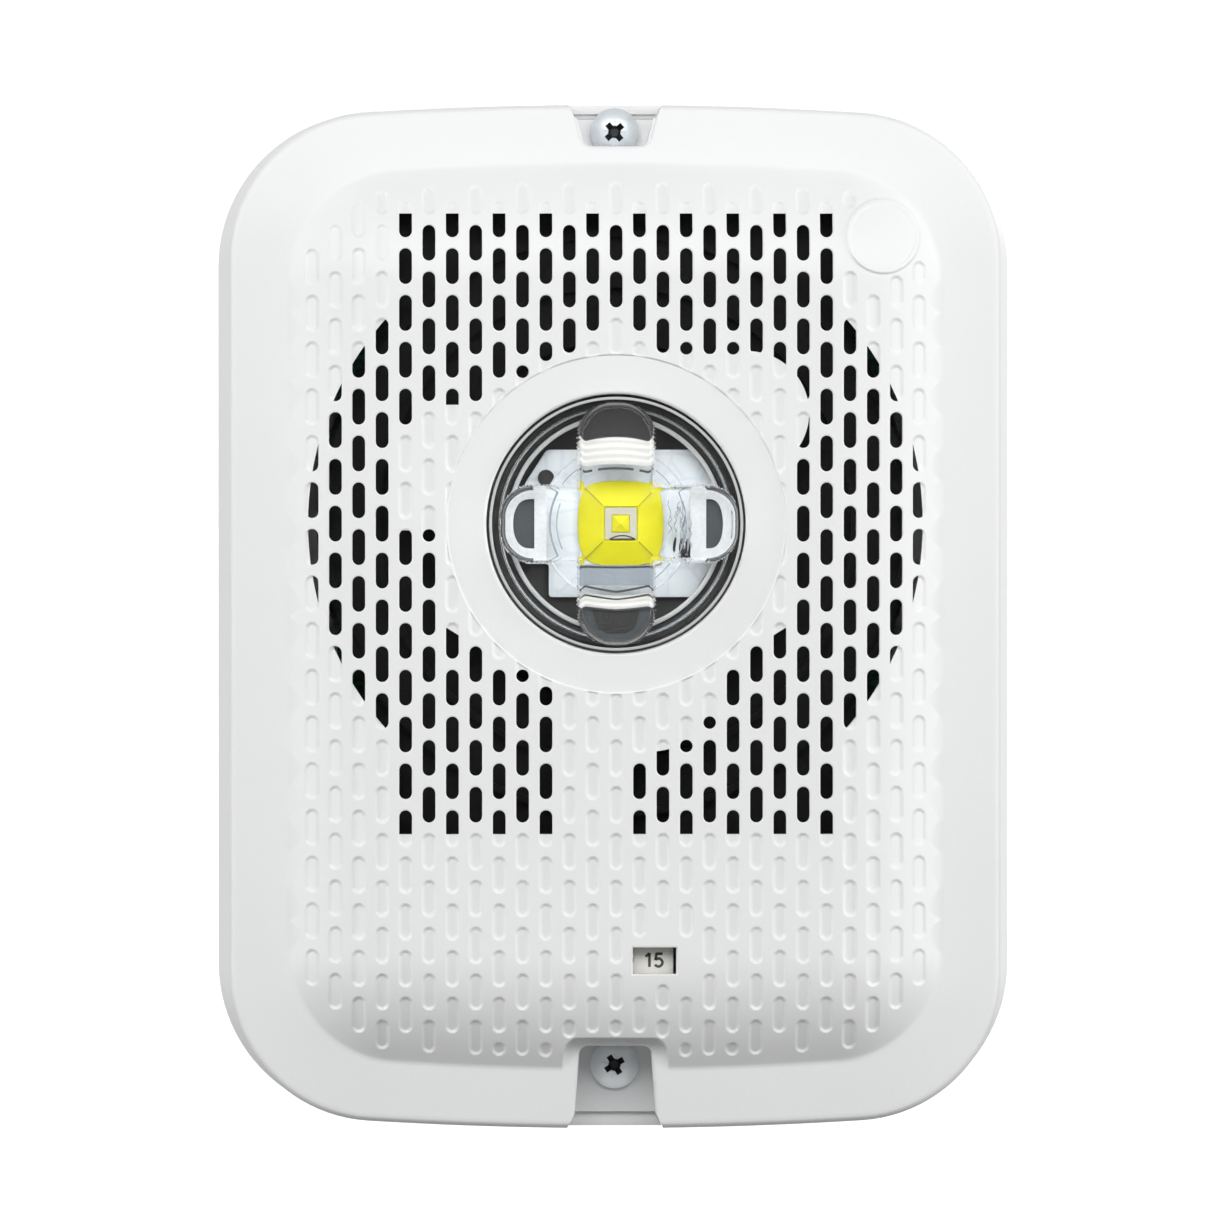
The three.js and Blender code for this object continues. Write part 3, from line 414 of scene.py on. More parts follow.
def makeSolid(name, points, faces):
    # a bare object for cutting with, from points in the front view's millimetres
    mesh = bpy.data.meshes.new(name)
    mesh.from_pydata(placed(points).reshape(-1, 3), [], faces if isinstance(faces, list) else faces.tolist())
    made = bpy.data.objects.new(name, mesh)
    bpy.context.scene.collection.objects.link(made)
    return made


def settle(piece, finish, body, *replaced):
    # gives a piece its finish and the body that it rides on
    piece.data.materials.clear()
    piece.data.materials.append(finish.material)
    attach(piece, body)
    if replaced:
        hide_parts(*replaced)


def shadeSmooth(mesh, sharp):
    # smooth except where two faces turn by more than so many degrees
    mesh.shade_smooth()
    mesh.set_sharp_from_angle(angle=math.radians(sharp))


def newMesh(name, points, faces, finish, body, replaced=(), sharp=35):
    # faces is a list of vertex numbers or an array of triangles or quads
    piece = makeSolid(name, points, faces)
    piece.data.validate()
    shadeSmooth(piece.data, sharp)
    settle(piece, finishes[finish], body, *replaced)
    return piece


def gridFaces(rows, columns):
    # quads of a grid of points, row by row, the last column joined to the first
    r, c = np.meshgrid(np.arange(rows - 1), np.arange(columns), indexing="ij")
    a = r * columns + c
    b = r * columns + (c + 1) % columns
    return np.stack([a, b, b + columns, a + columns], -1).reshape(-1, 4)


def revolved(profile, centre, steps=96):
    # a profile of (radius, z) carried round the z axis at centre; radius 0 is closed by merging
    p = np.asarray(profile, float)
    turn = np.arange(steps) / steps * 2 * np.pi
    x = centre[0] + p[:, :1] * np.cos(turn)
    y = centre[1] + p[:, :1] * np.sin(turn)
    z = np.repeat(p[:, 1:], steps, 1)
    return np.stack([x, y, z], -1).reshape(-1, 3), gridFaces(len(p), steps)


def rounded(points, radius, steps=4):
    # a polyline of (radius, z) with its inner corners rounded off by short curves
    p = [np.asarray(q, float) for q in points]
    out = [p[0]]
    for before, at, after in zip(p, p[1:], p[2:]):
        back, on = before - at, after - at
        r = min(radius, 0.45 * np.linalg.norm(back), 0.45 * np.linalg.norm(on))
        start, end = at + back / np.linalg.norm(back) * r, at + on / np.linalg.norm(on) * r
        for t in np.linspace(0, 1, steps + 1):
            out.append((1 - t) ** 2 * start + 2 * t * (1 - t) * at + t * t * end)
    out.append(p[-1])
    return np.array(out)


def merged(piece):
    # joins doubled points and turns the faces outwards
    work = bmesh.new()
    work.from_mesh(piece.data)
    bmesh.ops.remove_doubles(work, verts=work.verts, dist=1e-7)
    bmesh.ops.recalc_face_normals(work, faces=work.faces)
    work.to_mesh(piece.data)
    work.free()
    return piece


def applyModifiers(piece):
    # bakes the modifiers into the piece's own mesh
    graph = bpy.context.evaluated_depsgraph_get()
    made = bpy.data.meshes.new_from_object(piece.evaluated_get(graph))
    piece.modifiers.clear()
    piece.data = made
    return piece


cover = dict(
    skirt=dict(halfWidth=55.2, halfHeight=71.0, bow=2.4, corner=21.5),
    bezel=dict(halfWidth=53.5, halfHeight=70.95, bow=2.6, corner=20.5),
    dome=dict(halfWidth=44.1, halfHeight=61.7, bow=2.2, corner=14.0),
    backZ=1.0, edgeZ=17.4, bezelZ=18.8, bezelSlope=0.13, edgeRound=0.9,
    domeFootZ=20.6, domeRise=6.4, shoulder=15.0, power=2.2,
    wall=1.7,
)
domeTop = cover["domeFootZ"] + cover["domeRise"]
lensY = 12.9
ring = dict(radius=23.3, depth=0.4, opening=17.9, foot=22.0)
slots = dict(width=1.8, length=5.0, pitchX=3.225, pitchY=6.455, depth=0.42)


def cornerOf(o, inset=0.0):
    # corner round's centre and radius, and the bow's centre and radius, of an outline moved inwards
    width, height = o["halfWidth"] - inset, o["halfHeight"] - inset
    corner = max(o["corner"] - inset, 1.5)
    bow = (o["halfWidth"] ** 2 + o["bow"] ** 2) / (2 * o["bow"]) - inset
    bowY = height - bow
    x = width - corner
    return x, bowY + math.sqrt((bow - corner) ** 2 - x * x), corner, bowY, bow


def insetOf(o, x, y):
    # how far a point lies inside the outline: side walls, bowed ends and corner rounds each have a distance
    cx, cy, corner, bowY, bow = cornerOf(o)
    ax, ay = np.abs(x), np.abs(y)
    side = o["halfWidth"] - ax
    end = bow - np.hypot(ax, ay - bowY)
    turn = math.atan2(cy - bowY, cx)
    dx, dy = ax - cx, ay - cy
    angle = np.arctan2(dy, dx)
    inCorner = (angle > 0) & (angle < turn) & (np.hypot(dx, dy) > 1e-9)
    round_ = corner - np.hypot(dx, dy)
    flat = np.minimum(side, end)
    return np.where(inCorner, np.minimum(round_, flat), flat)


def outlinePoints(o, inset=0.0, corner=22, side=10, bow=26):
    # points round an outline, anticlockwise from the middle of the right side
    cx, cy, r, bowY, bowR = cornerOf(o, inset)
    turn = math.atan2(cy - bowY, cx)
    up = np.stack([np.full(side, cx + r), np.linspace(0, cy, side, endpoint=False)], -1)
    a = np.linspace(0, turn, corner, endpoint=False)
    arc = np.stack([cx + r * np.cos(a), cy + r * np.sin(a)], -1)
    b = np.linspace(turn, np.pi / 2, bow + 1)
    top = np.stack([bowR * np.cos(b), bowY + bowR * np.sin(b)], -1)
    quarter = np.concatenate([up, arc, top])
    mirrored = quarter[-2:0:-1] * (-1, 1)
    half = np.concatenate([quarter, mirrored])
    return np.concatenate([half, half * (-1, -1)])


def step(edge0, edge1, value):
    t = np.clip((value - edge0) / (edge1 - edge0), 0, 1)
    return t * t * (3 - 2 * t)


def softMax(a, b, k):
    # the larger of two heights with a round of size k where they meet
    h = np.clip(0.5 + 0.5 * (a - b) / k, 0, 1)
    return b + (a - b) * h + k * h * (1 - h)


def softMin(a, b, k):
    return -softMax(-a, -b, k)


notchShapes = dict(
    top=dict(side=1, ledge=65.1, inner=4.6, outer=5.6, screwY=67.2),
    # the bottom screw's zinc tones are lighter than the top's: painted light that makes up for the shade of
    # its deep notch
    bottom=dict(side=-1, ledge=59.4, inner=5.0, outer=5.7, screwY=-62.4,
                zinc=((0.84, 0.90, 0.93), (0.98, 1.0, 1.0))),
)
notch = dict(floorZ=10.2, floorEnd=69.0, corner=1.2, fillet=0.45, reach=20.0)
# the lip round the lower notch, highest at its ledge: the dome ends round it in a steep wall
lip = dict(side=-1, ledge=58.2, inner=7.05, outer=7.8, corner=2.0, foot=19.6, ledgeFoot=22.3, steep=13.0)


def notchOutline(one, grow=0.0):
    # a notch that widens outwards from its ledge, with two rounded inner corners
    y0, r = one["ledge"] - grow, notch["corner"] + grow
    inner, outer = one["inner"] + grow, one["outer"] + grow
    end = notch["floorEnd"] + notch["reach"]
    slope = (outer - inner) / (notch["floorEnd"] - one["ledge"])
    right = [(inner + slope * (end - y0), end), (inner + slope * (y0 + r - y0), y0 + r)]
    a = np.linspace(0, np.pi / 2, 7)
    arc = np.stack([inner - r + r * np.cos(a), y0 + r - r * np.sin(a)], -1)
    half = np.concatenate([np.array(right[:1]), arc])
    whole = np.concatenate([half, half[::-1] * (-1, 1)])
    return whole * (1, one["side"])


def flare(one, y0, y1, shrink=0.0):
    # the notch's widening outer end, from one height to another
    wide = lambda y: one["outer"] + 0.5 * (y - notch["floorEnd"]) - shrink
    loop = np.array([(-wide(y0), y0), (wide(y0), y0), (wide(y1), y1), (-wide(y1), y1)])
    return loop * (1, one["side"])


def notchDistance(one, x, y):
    # distance outside a notch's outline; negative inside
    r = one.get("corner", notch["corner"])
    slope = (one["outer"] - one["inner"]) / (notch["floorEnd"] - one["ledge"])
    v = y * one["side"] - one["ledge"]
    u = (np.abs(x) - one["inner"] - slope * np.clip(v, 0, None)) / math.hypot(1, slope)
    dx, dy = u + r, r - v
    outside = np.hypot(np.clip(dx, 0, None), np.clip(dy, 0, None)) + np.minimum(np.maximum(dx, dy), 0) - r
    return outside


window = dict(x=5.3, y=-47.35, width=6.0, height=3.7, keep=1.35, foot=21.0)
emblem = dict(x=36.9, y=52.6, radius=5.4, face=4.85, rise=0.36, sunk=0.16)


def domeHeight(x, y):
    # the dome: full height inside, falling by a power of the share left of its shoulder
    d = insetOf(cover["dome"], x, y)
    share = np.clip(1 - d / cover["shoulder"], 0, 1)
    inside = domeTop - cover["domeRise"] * share ** cover["power"]
    slope = cover["domeRise"] * cover["power"] / cover["shoulder"]
    return np.where(d > 0, inside, cover["domeFootZ"] + slope * d)


def bezelHeight(x, y):
    # the bezel: a gentle slope with a quarter round at its outer edge
    b = insetOf(cover["bezel"], x, y)
    r = cover["edgeRound"]
    fall = r - np.sqrt(np.clip(r * r - (r - np.clip(b, 0, r)) ** 2, 0, None))
    return cover["bezelZ"] + cover["bezelSlope"] * (b - r) - fall * (cover["bezelZ"] - cover["edgeZ"]) / r


def skin(x, y):
    # height of the cover's face before the slots: dome and bezel joined by a cove, less the lens's ring,
    # with the lip round the lower notch, the emblem disc and the notches' rounded rims
    foot = lip["foot"] + (lip["ledgeFoot"] - lip["foot"]) * step(-64.0, -58.4, y)
    wall = foot + lip["steep"] * notchDistance(lip, x, y)
    z = softMax(softMin(domeHeight(x, y), wall, 0.35), bezelHeight(x, y), 0.25)
    r = np.hypot(x, y - lensY)
    z = z - ring["depth"] * step(ring["radius"] + 0.14, ring["radius"] - 0.14, r)
    z = z - 0.5 * (1 - np.sqrt(1 - np.clip((ring["opening"] + 0.5 - r) / 0.5, 0, 1) ** 2 * 0.98))
    ex, ey = emblem["x"], emblem["y"]
    e = np.hypot(x - ex, y - ey)
    z = z + emblem["rise"] * step(emblem["radius"], emblem["face"] + 0.15, e)
    z = z - emblem["sunk"] * step(emblem["face"] - 0.2, emblem["face"] - 0.45, e)
    for one in notchShapes.values():
        t = np.clip(notch["fillet"] - notchDistance(one, x, y), 0, notch["fillet"])
        z = z - notch["fillet"] + np.sqrt(np.clip(notch["fillet"] ** 2 - t ** 2, 0, None))
    wx = np.abs(x - window["x"]) - window["width"] / 2
    wy = np.abs(y - window["y"]) - window["height"] / 2
    return z - 0.18 * step(0.2, 0.0, np.maximum(wx, wy))


# Solid places behind the grille, from the lens centre: a tube, circles x, y, radius, boxes x0, y0, x1, y1 and
# the slanted corners that they cut off two slots.
grille = dict(
    radius=42.5, halfWidth=30.2, halfHeight=42.8, tube=24.4, shortest=0.95, dot=2.07,
    bossCircle=(18.1, 15.3, 8.5), wireCircle=(4.6, -21.2, 10.2),
    boxes=((-31.0, -0.9, -20.0, 13.0), (-27.5, 12.9, -20.0, 16.4), (-2.0, 20.0, 2.0, 28.8),
           (-4.3, 20.0, 4.3, 25.6), (0.0, 10.0, 18.5, 23.4), (-8.0, -44.0, 2.0, -20.0),
           (21.5, 6.0, 23.8, 12.6), (21.5, -12.6, 23.8, -6.0), (-23.8, -12.6, -21.5, -6.0)),
    slants=((-23.9, -13.99, -21.5, -15.49), (23.9, -13.99, 21.5, -15.49)), slantTop=-12.5,
)


def slotCells():
    # the staggered grid over the whole dome: each slot is a centre line x, low, high, cut by what it meets
    half = slots["length"] / 2 - slots["width"] / 2
    radius = slots["width"] / 2
    columns = np.arange(-14, 15)
    rows = np.arange(-13, 9)
    i, k = np.meshgrid(columns, rows, indexing="ij")
    x = (i * slots["pitchX"]).ravel()
    y = (lensY + (k + 0.5 * (i % 2)) * slots["pitchY"]).ravel()
    cells = []
    for cx, cy in zip(x, y):
        line = cy + np.linspace(-half, half, 33)
        at = np.full_like(line, cx)
        free = insetOf(cover["dome"], at, line) > np.where(line > 50, 2.5, 1.6)
        free &= notchDistance(lip, at, line) > radius + 0.35
        wx = np.abs(at - window["x"]) - window["width"] / 2 - window["keep"] - radius
        wy = np.abs(line - window["y"]) - window["height"] / 2 - window["keep"] - radius
        free &= np.maximum(wx, wy) > 0
        ex, ey = emblem["x"], emblem["y"]
        free &= np.hypot(at - ex, line - ey) > emblem["radius"] + 0.35 + radius
        free &= np.hypot(at, line - lensY) > ring["radius"] - 1.0
        if free.any():
            cells.append((cx, line[free].min(), line[free].max()))
    return np.array(cells)


def stadiumLoop(x, low, high, radius, steps=7):
    # a slot's outline: two half rounds joined by straight sides
    a = np.linspace(0, np.pi, steps)
    top = np.stack([x + radius * np.cos(a), high + radius * np.sin(a)], -1)
    return np.concatenate([top, np.stack([x - radius * np.cos(a), low - radius * np.sin(a)], -1)])


def openLoops(cells):
    # Which slots are open, and how far. What blocks a slot's centre line leaves part of it: next to the tube
    # it gets a round end, a short rest becomes a round hole at the slot's free end, and others are cut later.
    whole, short = [], []
    radius = slots["width"] / 2
    for x, low, high in cells:
        y0, y1 = low - lensY - radius, high - lensY + radius
        nearest = min(abs(y0), abs(y1)) if y0 * y1 > 0 else 0.0
        inBox = abs(x) < grille["halfWidth"] and nearest < grille["halfHeight"] - 0.5
        if not inBox and math.hypot(abs(x) - radius, nearest) > grille["radius"]:
            continue
        a, b, byTube = y0, y1, False
        blocks = []
        if abs(x) < grille["tube"]:
            c = math.sqrt(grille["tube"] ** 2 - x * x)
            blocks.append((-c, c, True))
        cx, cy, r = grille["wireCircle"]
        if abs(x - cx) < r:
            c = math.sqrt(r * r - (x - cx) ** 2)
            blocks.append((cy - c, cy + c, False))
        blocks += [(b0, b1, False) for x0, b0, x1, b1 in grille["boxes"] if x0 - 0.3 < x < x1 + 0.3]
        for b0, b1, tube in blocks:
            if b0 < b and b1 > a:
                byTube |= tube
                if b1 < b and b - b1 > b0 - a:
                    a = b1
                else:
                    b = max(b0, a)
        if b - a < grille["shortest"]:
            continue
        if b - a < grille["dot"] and (a > y0 or b < y1):
            end = y1 - radius if a > y0 else y0 + radius
            short.append(stadiumLoop(x, end + lensY, end + lensY, radius - 0.02, 9))
        elif byTube:
            short.append(stadiumLoop(x, a + radius + lensY, b - radius + lensY, radius - 0.02, 9))
        else:
            whole.append(stadiumLoop(x, low, high, radius - 0.02, 9))
    return whole, short


cells = slotCells()
wholeHoles, shortHoles = openLoops(cells)
print("open and blind slots worked out:", len(cells), "open:", len(wholeHoles) + len(shortHoles))


def slotDistance(x, y):
    # distance outside the nearest slot's outline, negative inside
    best = np.full(x.shape, 9.0)
    for start in range(0, len(x), 20000):
        px, py = x[start:start + 20000, None], y[start:start + 20000, None]
        dy = py - np.clip(py, cells[:, 1], cells[:, 2])
        best[start:start + 20000] = np.hypot(px - cells[:, 0], dy).min(1)
    return best - slots["width"] / 2


def face(x, y):
    # the finished face: the skin less each slot's dimple, which the ring round the lens wipes out
    d = slotDistance(x, y)
    dimple = slots["depth"] * step(0.2, -0.42, d)
    dimple = dimple * step(ring["radius"] - 0.1, ring["radius"] + 0.25, np.hypot(x, y - lensY))
    return skin(x, y) - dimple


def circleLoop(cx, cy, radius, steps):
    a = np.arange(steps) / steps * 2 * np.pi
    return np.stack([cx + radius * np.cos(a), cy + radius * np.sin(a)], -1)


def boxLoop(one, grow):
    w, h = one["width"] / 2 + grow, one["height"] / 2 + grow
    return np.array([(-w, -h), (w, -h), (w, h), (-w, h)]) + (one["x"], one["y"])


def alongNotch(one, grow, spacing=0.9):
    # points along a notch's outline, as far as they lie on the face
    loop = notchOutline(one, grow)
    parts = []
    for p, q in zip(loop, loop[1:]):
        count = max(1, int(np.hypot(*(q - p)) / spacing))
        parts.append(p + (q - p) * np.linspace(0, 1, count, endpoint=False)[:, None])
    loop = np.concatenate(parts + [loop[-1:]])
    return loop[insetOf(cover["bezel"], loop[:, 0], loop[:, 1]) > 0.02]


def makeFace():
    # triangles between outlines: the border, the cove, the ring, the disc, the window, the notches and slots
    points, edges = [], []

    def add(loop, closed=True):
        start, count = len(points), len(loop)
        points.extend(loop.tolist())
        edges.extend((start + i, start + (i + 1) % count) for i in range(count if closed else count - 1))

    border = cover["bezel"]
    for inset in (0.0, 0.15, 0.4, 0.8, 1.25, 1.7, 2.6):
        add(outlinePoints(border, inset))
    for radius in (0.4, 0.16, 0.05, -0.05, -0.16, -0.4, -2.2, -4.0):
        add(circleLoop(0, lensY, ring["radius"] + radius, 160))
    for radius in (0.52, 0.35, 0.18, 0.07, 0.0):
        add(circleLoop(0, lensY, ring["opening"] + radius, 120))
    ex, ey = emblem["x"], emblem["y"]
    for radius in (5.5, 5.38, 5.24, 5.1, 4.98, 4.7, 4.6, 4.5, 4.4, 2.5):
        add(circleLoop(ex, ey, radius, 64))
    for grow in (0.22, 0.1, 0.0):
        add(boxLoop(window, grow))
    for one in notchShapes.values():
        for grow in (0.0, 0.06, 0.16, 0.3, 0.46, 0.8):
            add(alongNotch(one, grow), False)
    for inset in (-2.2, -1.4, -0.9, -0.6, -0.35, -0.1, 0.15, 0.4, 0.7):
        loop = outlinePoints(cover["dome"], inset)
        away = notchDistance(lip, loop[:, 0], loop[:, 1])
        points.extend(loop[away > 1.2].tolist())
    for grow in (-0.5, -0.25, -0.12, -0.04, 0.02, 0.08, 0.14, 0.2, 0.26, 0.32, 0.38, 0.46, 0.6, 0.85, 1.15):
        loop = alongNotch(lip, grow, 0.4)
        points.extend(loop[loop[:, 1] > -69.0].tolist())
    for inset in (1.5, 2.6, 4.2, 6.2, 8.6, 11.4, 15.5):
        loop = outlinePoints(cover["dome"], inset)
        keep = slotDistance(loop[:, 0], loop[:, 1]) > 0.4
        keep &= notchDistance(lip, loop[:, 0], loop[:, 1]) > 1.3
        points.extend(loop[keep].tolist())
    for x, low, high in cells:
        for grow in (0.21, 0.09, -0.03, -0.16, -0.3, -0.44):
            add(stadiumLoop(x, low, high, slots["width"] / 2 + grow, 6))
    made = delaunay_2d_cdt([Vector(p) for p in points], edges, [], 0, 1e-5)
    flat = np.array([tuple(v) for v in made[0]])
    faces = np.array([f for f in made[2] if len(f) == 3])
    middle = flat[faces].mean(1)
    faces = faces[insetOf(border, middle[:, 0], middle[:, 1]) > -1e-6]
    a, b, c = flat[faces[:, 0]], flat[faces[:, 1]], flat[faces[:, 2]]
    turn = (b - a)[:, 0] * (c - a)[:, 1] - (b - a)[:, 1] * (c - a)[:, 0]
    faces, turn = faces[np.abs(turn) > 1e-9], turn[np.abs(turn) > 1e-9]
    faces[turn < 0] = faces[turn < 0][:, ::-1]
    print("face:", len(flat), "points", len(faces), "triangles")
    return flat, faces


def stacked(rings, caps=True):
    # rings of equal length, (points, z) from back to front, joined by quads and closed with flat ends
    count = len(rings[0][0])
    points = np.concatenate([np.column_stack([p, np.full(count, z)]) for p, z in rings])
    faces = gridFaces(len(rings), count).tolist()
    if caps:
        faces.append(list(range(count))[::-1])
        faces.append(list(range((len(rings) - 1) * count, len(rings) * count)))
    return points, faces


def joined(parts):
    # several (points, faces) as one
    points, faces, start = [], [], 0
    for p, f in parts:
        points.append(np.asarray(p, float).reshape(-1, 3))
        faces.extend([[v + start for v in one] for one in (f if isinstance(f, list) else f.tolist())])
        start += len(points[-1])
    return np.concatenate(points), faces


def prism(loop, z0, z1):
    # a closed outline, anticlockwise, carried from z0 to z1
    area = np.sum(loop[:, 0] * np.roll(loop[:, 1], -1) - np.roll(loop[:, 0], -1) * loop[:, 1])
    return stacked([(loop if area > 0 else loop[::-1], z) for z in (z0, z1)])


def boolean(piece, operation, tools):
    # one cut or union after another, then the tools are gone
    for tool in tools:
        change = piece.modifiers.new("cut", "BOOLEAN")
        change.operation, change.object, change.solver = operation, tool, "MANIFOLD"
    applyModifiers(piece)
    for tool in tools:
        bpy.data.objects.remove(tool)
    return piece


def cutter(*parts):
    return makeSolid("cutter", *joined(parts))


def rectangle(x0, y0, x1, y1):
    return np.array([(x0, y0), (x1, y0), (x1, y1), (x0, y1)])


def roundedBox(x0, y0, x1, y1, radius, steps):
    # a rectangle with a quarter round at each corner, anticlockwise from the upper right
    corners = []
    for k, (x, y) in enumerate(((x1 - radius, y1 - radius), (x0 + radius, y1 - radius),
                                (x0 + radius, y0 + radius), (x1 - radius, y0 + radius))):
        a = np.linspace(0, np.pi / 2, steps) + k * np.pi / 2
        corners.append(np.column_stack([x + radius * np.cos(a), y + radius * np.sin(a)]))
    return np.concatenate(corners)


# the cover's inside and what stands in it, as radii, widths and heights
inside = dict(
    wall=1.6, floor=-1.0, domeWall=0.6, shares=(0.12, 0.3, 0.55, 1.0),
    bezelSteps=((1.6, 15.0), (2.0, 15.9), (3.2, 16.6)), domeSteps=((-1.2, 17.6), (1.0, 18.7)),
    pocketFoot=8.6, lowerWall=3.9, lowerFoot=15.0, boss=5.25, bossTop=14.4, tube=24.3, tubeFoot=16.9,
    lensSeat=19.9, lensSeatZ=(5.0, 24.1), headRoom=3.65, headRoomTop=12.8, screwHole=1.9,
)
beyond = 40.0  # cutting tools reach up to here, clear of the cover
skirtShares = (0.03, 0.12, 0.3, 0.5, 0.7, 0.88, 0.97, 1.0)
footRound = 0.3


def makeHollow(look=inside):
    # the cover's inside, less what the lens tube and the notch pockets leave standing
    around = lambda outline, inset, z: (outlinePoints(outline, inset, 10, 5, 12), z)
    rings = [around(cover["skirt"], look["wall"], look["floor"])]
    rings += [around(cover["bezel"], inset, z) for inset, z in look["bezelSteps"]]
    rings += [around(cover["dome"], inset, z) for inset, z in look["domeSteps"]]
    for share in look["shares"]:
        rise = cover["domeRise"] * (1 - share) ** cover["power"]
        rings.append(around(cover["dome"], share * cover["shoulder"] + look["domeWall"],
                            domeTop - rise - cover["wall"]))
    hollow = makeSolid("hollow", *stacked(rings))
    keep = [cutter(prism(notchOutline(one, look["wall"]), look["pocketFoot"], beyond))
            for one in notchShapes.values()]
    lower = notchOutline(notchShapes["bottom"], look["lowerWall"])
    keep.append(cutter(prism(lower, look["lowerFoot"], beyond)))
    bosses = [circleLoop(0, one["screwY"], look["boss"], 40) for one in notchShapes.values()]
    keep += [cutter(prism(boss, look["pocketFoot"], look["bossTop"])) for boss in bosses]
    keep.append(cutter(prism(circleLoop(0, lensY, look["tube"], 96), look["tubeFoot"], beyond)))
    return boolean(hollow, "DIFFERENCE", keep)


def makeSlotCuts(low=15.0):
    # the open slots: whole ones cut by the grille's border and by what stands behind, and the short ones
    cuts = cutter(*[prism(loop, low, beyond) for loop in wholeHoles])
    region = cutter(prism(circleLoop(0, lensY, grille["radius"], 160), low - 1, beyond + 1))
    w, h = grille["halfWidth"], grille["halfHeight"]
    boolean(region, "UNION", [cutter(prism(rectangle(-w, lensY - h, w, lensY + h), low - 1, beyond + 1))])
    boolean(cuts, "INTERSECT", [region])
    loops = [circleLoop(cx, cy + lensY, r, 120) for cx, cy, r in (grille["bossCircle"], grille["wireCircle"])]
    loops += [rectangle(x0, y0 + lensY, x1, y1 + lensY) for x0, y0, x1, y1 in grille["boxes"]]
    loops += [np.array([(x0, y0), (x1, y1), (x1, grille["slantTop"]), (x0, grille["slantTop"])]) + (0, lensY)
              for x0, y0, x1, y1 in grille["slants"]]
    boolean(cuts, "DIFFERENCE", [cutter(prism(loop, low - 2, beyond + 2)) for loop in loops])
    return cuts, cutter(*[prism(loop, low, beyond) for loop in shortHoles])


def makeFrontCover():
    # the face: every point's height is the skin less the dimples; the skirt runs from its border to the wall
    flat, faces = makeFace()
    border = outlinePoints(cover["bezel"])
    count = len(border)
    sheet = np.column_stack([flat, face(flat[:, 0], flat[:, 1])])
    edge = np.array([int(np.argmin(np.hypot(flat[:, 0] - x, flat[:, 1] - y))) for x, y in border])
    foot = outlinePoints(cover["skirt"])
    edgeZ = sheet[edge, 2]
    rings, start = [], len(sheet)
    for share in skirtShares:
        low = outlinePoints(cover["skirt"], footRound) if share == 1 else foot
        rings.append(np.column_stack([border * (1 - share) + low * share,
                                      edgeZ * (1 - share) + cover["backZ"] * share]))
    points = np.concatenate([sheet] + rings)
    allFaces = faces.tolist()
    above = edge
    for k in range(len(rings)):
        below = start + k * count + np.arange(count)
        allFaces += np.stack([above, below, np.roll(below, -1), np.roll(above, -1)], -1).tolist()
        above = below
    allFaces.append(above[::-1].tolist())
    solid = makeSolid("frontCover", points, allFaces)

    w, h, x, y = window["width"] / 2, window["height"] / 2, window["x"], window["y"]
    notches = notchShapes.values()
    openings = cutter(
        prism(rectangle(x - w, y - h, x + w, y + h), window["foot"], beyond),
        prism(circleLoop(0, lensY, ring["opening"], 120), ring["foot"], beyond),
        *[prism(notchOutline(one), notch["floorZ"], beyond) for one in notches],
    )
    under = cutter(
        prism(circleLoop(0, lensY, inside["lensSeat"], 96), *inside["lensSeatZ"]),
        *[prism(circleLoop(0, one["screwY"], inside["headRoom"], 40), notch["floorZ"] - 0.001,
                inside["headRoomTop"]) for one in notches],
    )
    ends = cutter(*[prism(flare(one, notch["floorEnd"], 80.0), -2.0, 30.0) for one in notches])
    screwHoles = cutter(*[prism(circleLoop(0, one["screwY"], inside["screwHole"], 24), 0.0, 11.0)
                          for one in notches])
    hollow = makeHollow()
    boolean(solid, "DIFFERENCE", [hollow, *makeSlotCuts(), openings, under, ends, screwHoles])
    finishCover(solid)
    settle(solid, finishes["white"], "appliance", "front_cover")
    print("front cover:", len(solid.data.vertices), "points", len(solid.data.polygons), "faces")


def finishCover(piece):
    # smooth shading: the face takes the slope of its own height, worked out a little beside every corner
    mesh = piece.data
    triangulate(mesh)
    shadeSmooth(mesh, 32)
    loops = len(mesh.loops)
    normals = np.empty(loops * 3, np.float32)
    mesh.corner_normals.foreach_get("vector", normals)
    normals = normals.reshape(-1, 3).astype(float)
    corner = np.empty(loops, np.int32)
    mesh.loops.foreach_get("vertex_index", corner)
    points = np.empty(len(mesh.vertices) * 3, np.float32)
    mesh.vertices.foreach_get("co", points)
    points = points.reshape(-1, 3).astype(float) / mm
    x, y, z = points[:, 0], points[:, 2], -points[:, 1]
    gap = np.abs(z - face(x, y))
    faceNormal = np.empty(len(mesh.polygons) * 3, np.float32)
    mesh.polygons.foreach_get("normal", faceNormal)
    up = -faceNormal.reshape(-1, 3)[:, 1]
    triangle = corner.reshape(-1, 3)
    onFace = (gap[triangle].max(1) < 0.03) & (up > 0.2)
    use = np.repeat(onFace, 3)
    h = 0.02
    slopeX = (face(x + h, y) - face(x - h, y)) / (2 * h)
    slopeY = (face(x, y + h) - face(x, y - h)) / (2 * h)
    worked = np.stack([-slopeX, -np.ones_like(x), -slopeY], -1)
    worked /= np.linalg.norm(worked, axis=1, keepdims=True)
    normals[use] = worked[corner[use]]
    mesh.normals_split_custom_set(normals.tolist())


def triangulate(mesh):
    work = bmesh.new()
    work.from_mesh(mesh)
    bmesh.ops.triangulate(work, faces=[f for f in work.faces if len(f.verts) > 3])
    work.to_mesh(mesh)
    work.free()


lens = dict(
    faceZ=27.15, wall=1.4, half=5.25, rise=4.4, edgeRound=0.85,
    level=dict(low=-15.9, high=16.8, corner=4.3), upright=dict(low=-16.7, high=16.7, corner=4.6),
    disc=10.4, discRise=0.3, streaks=0.1,
)


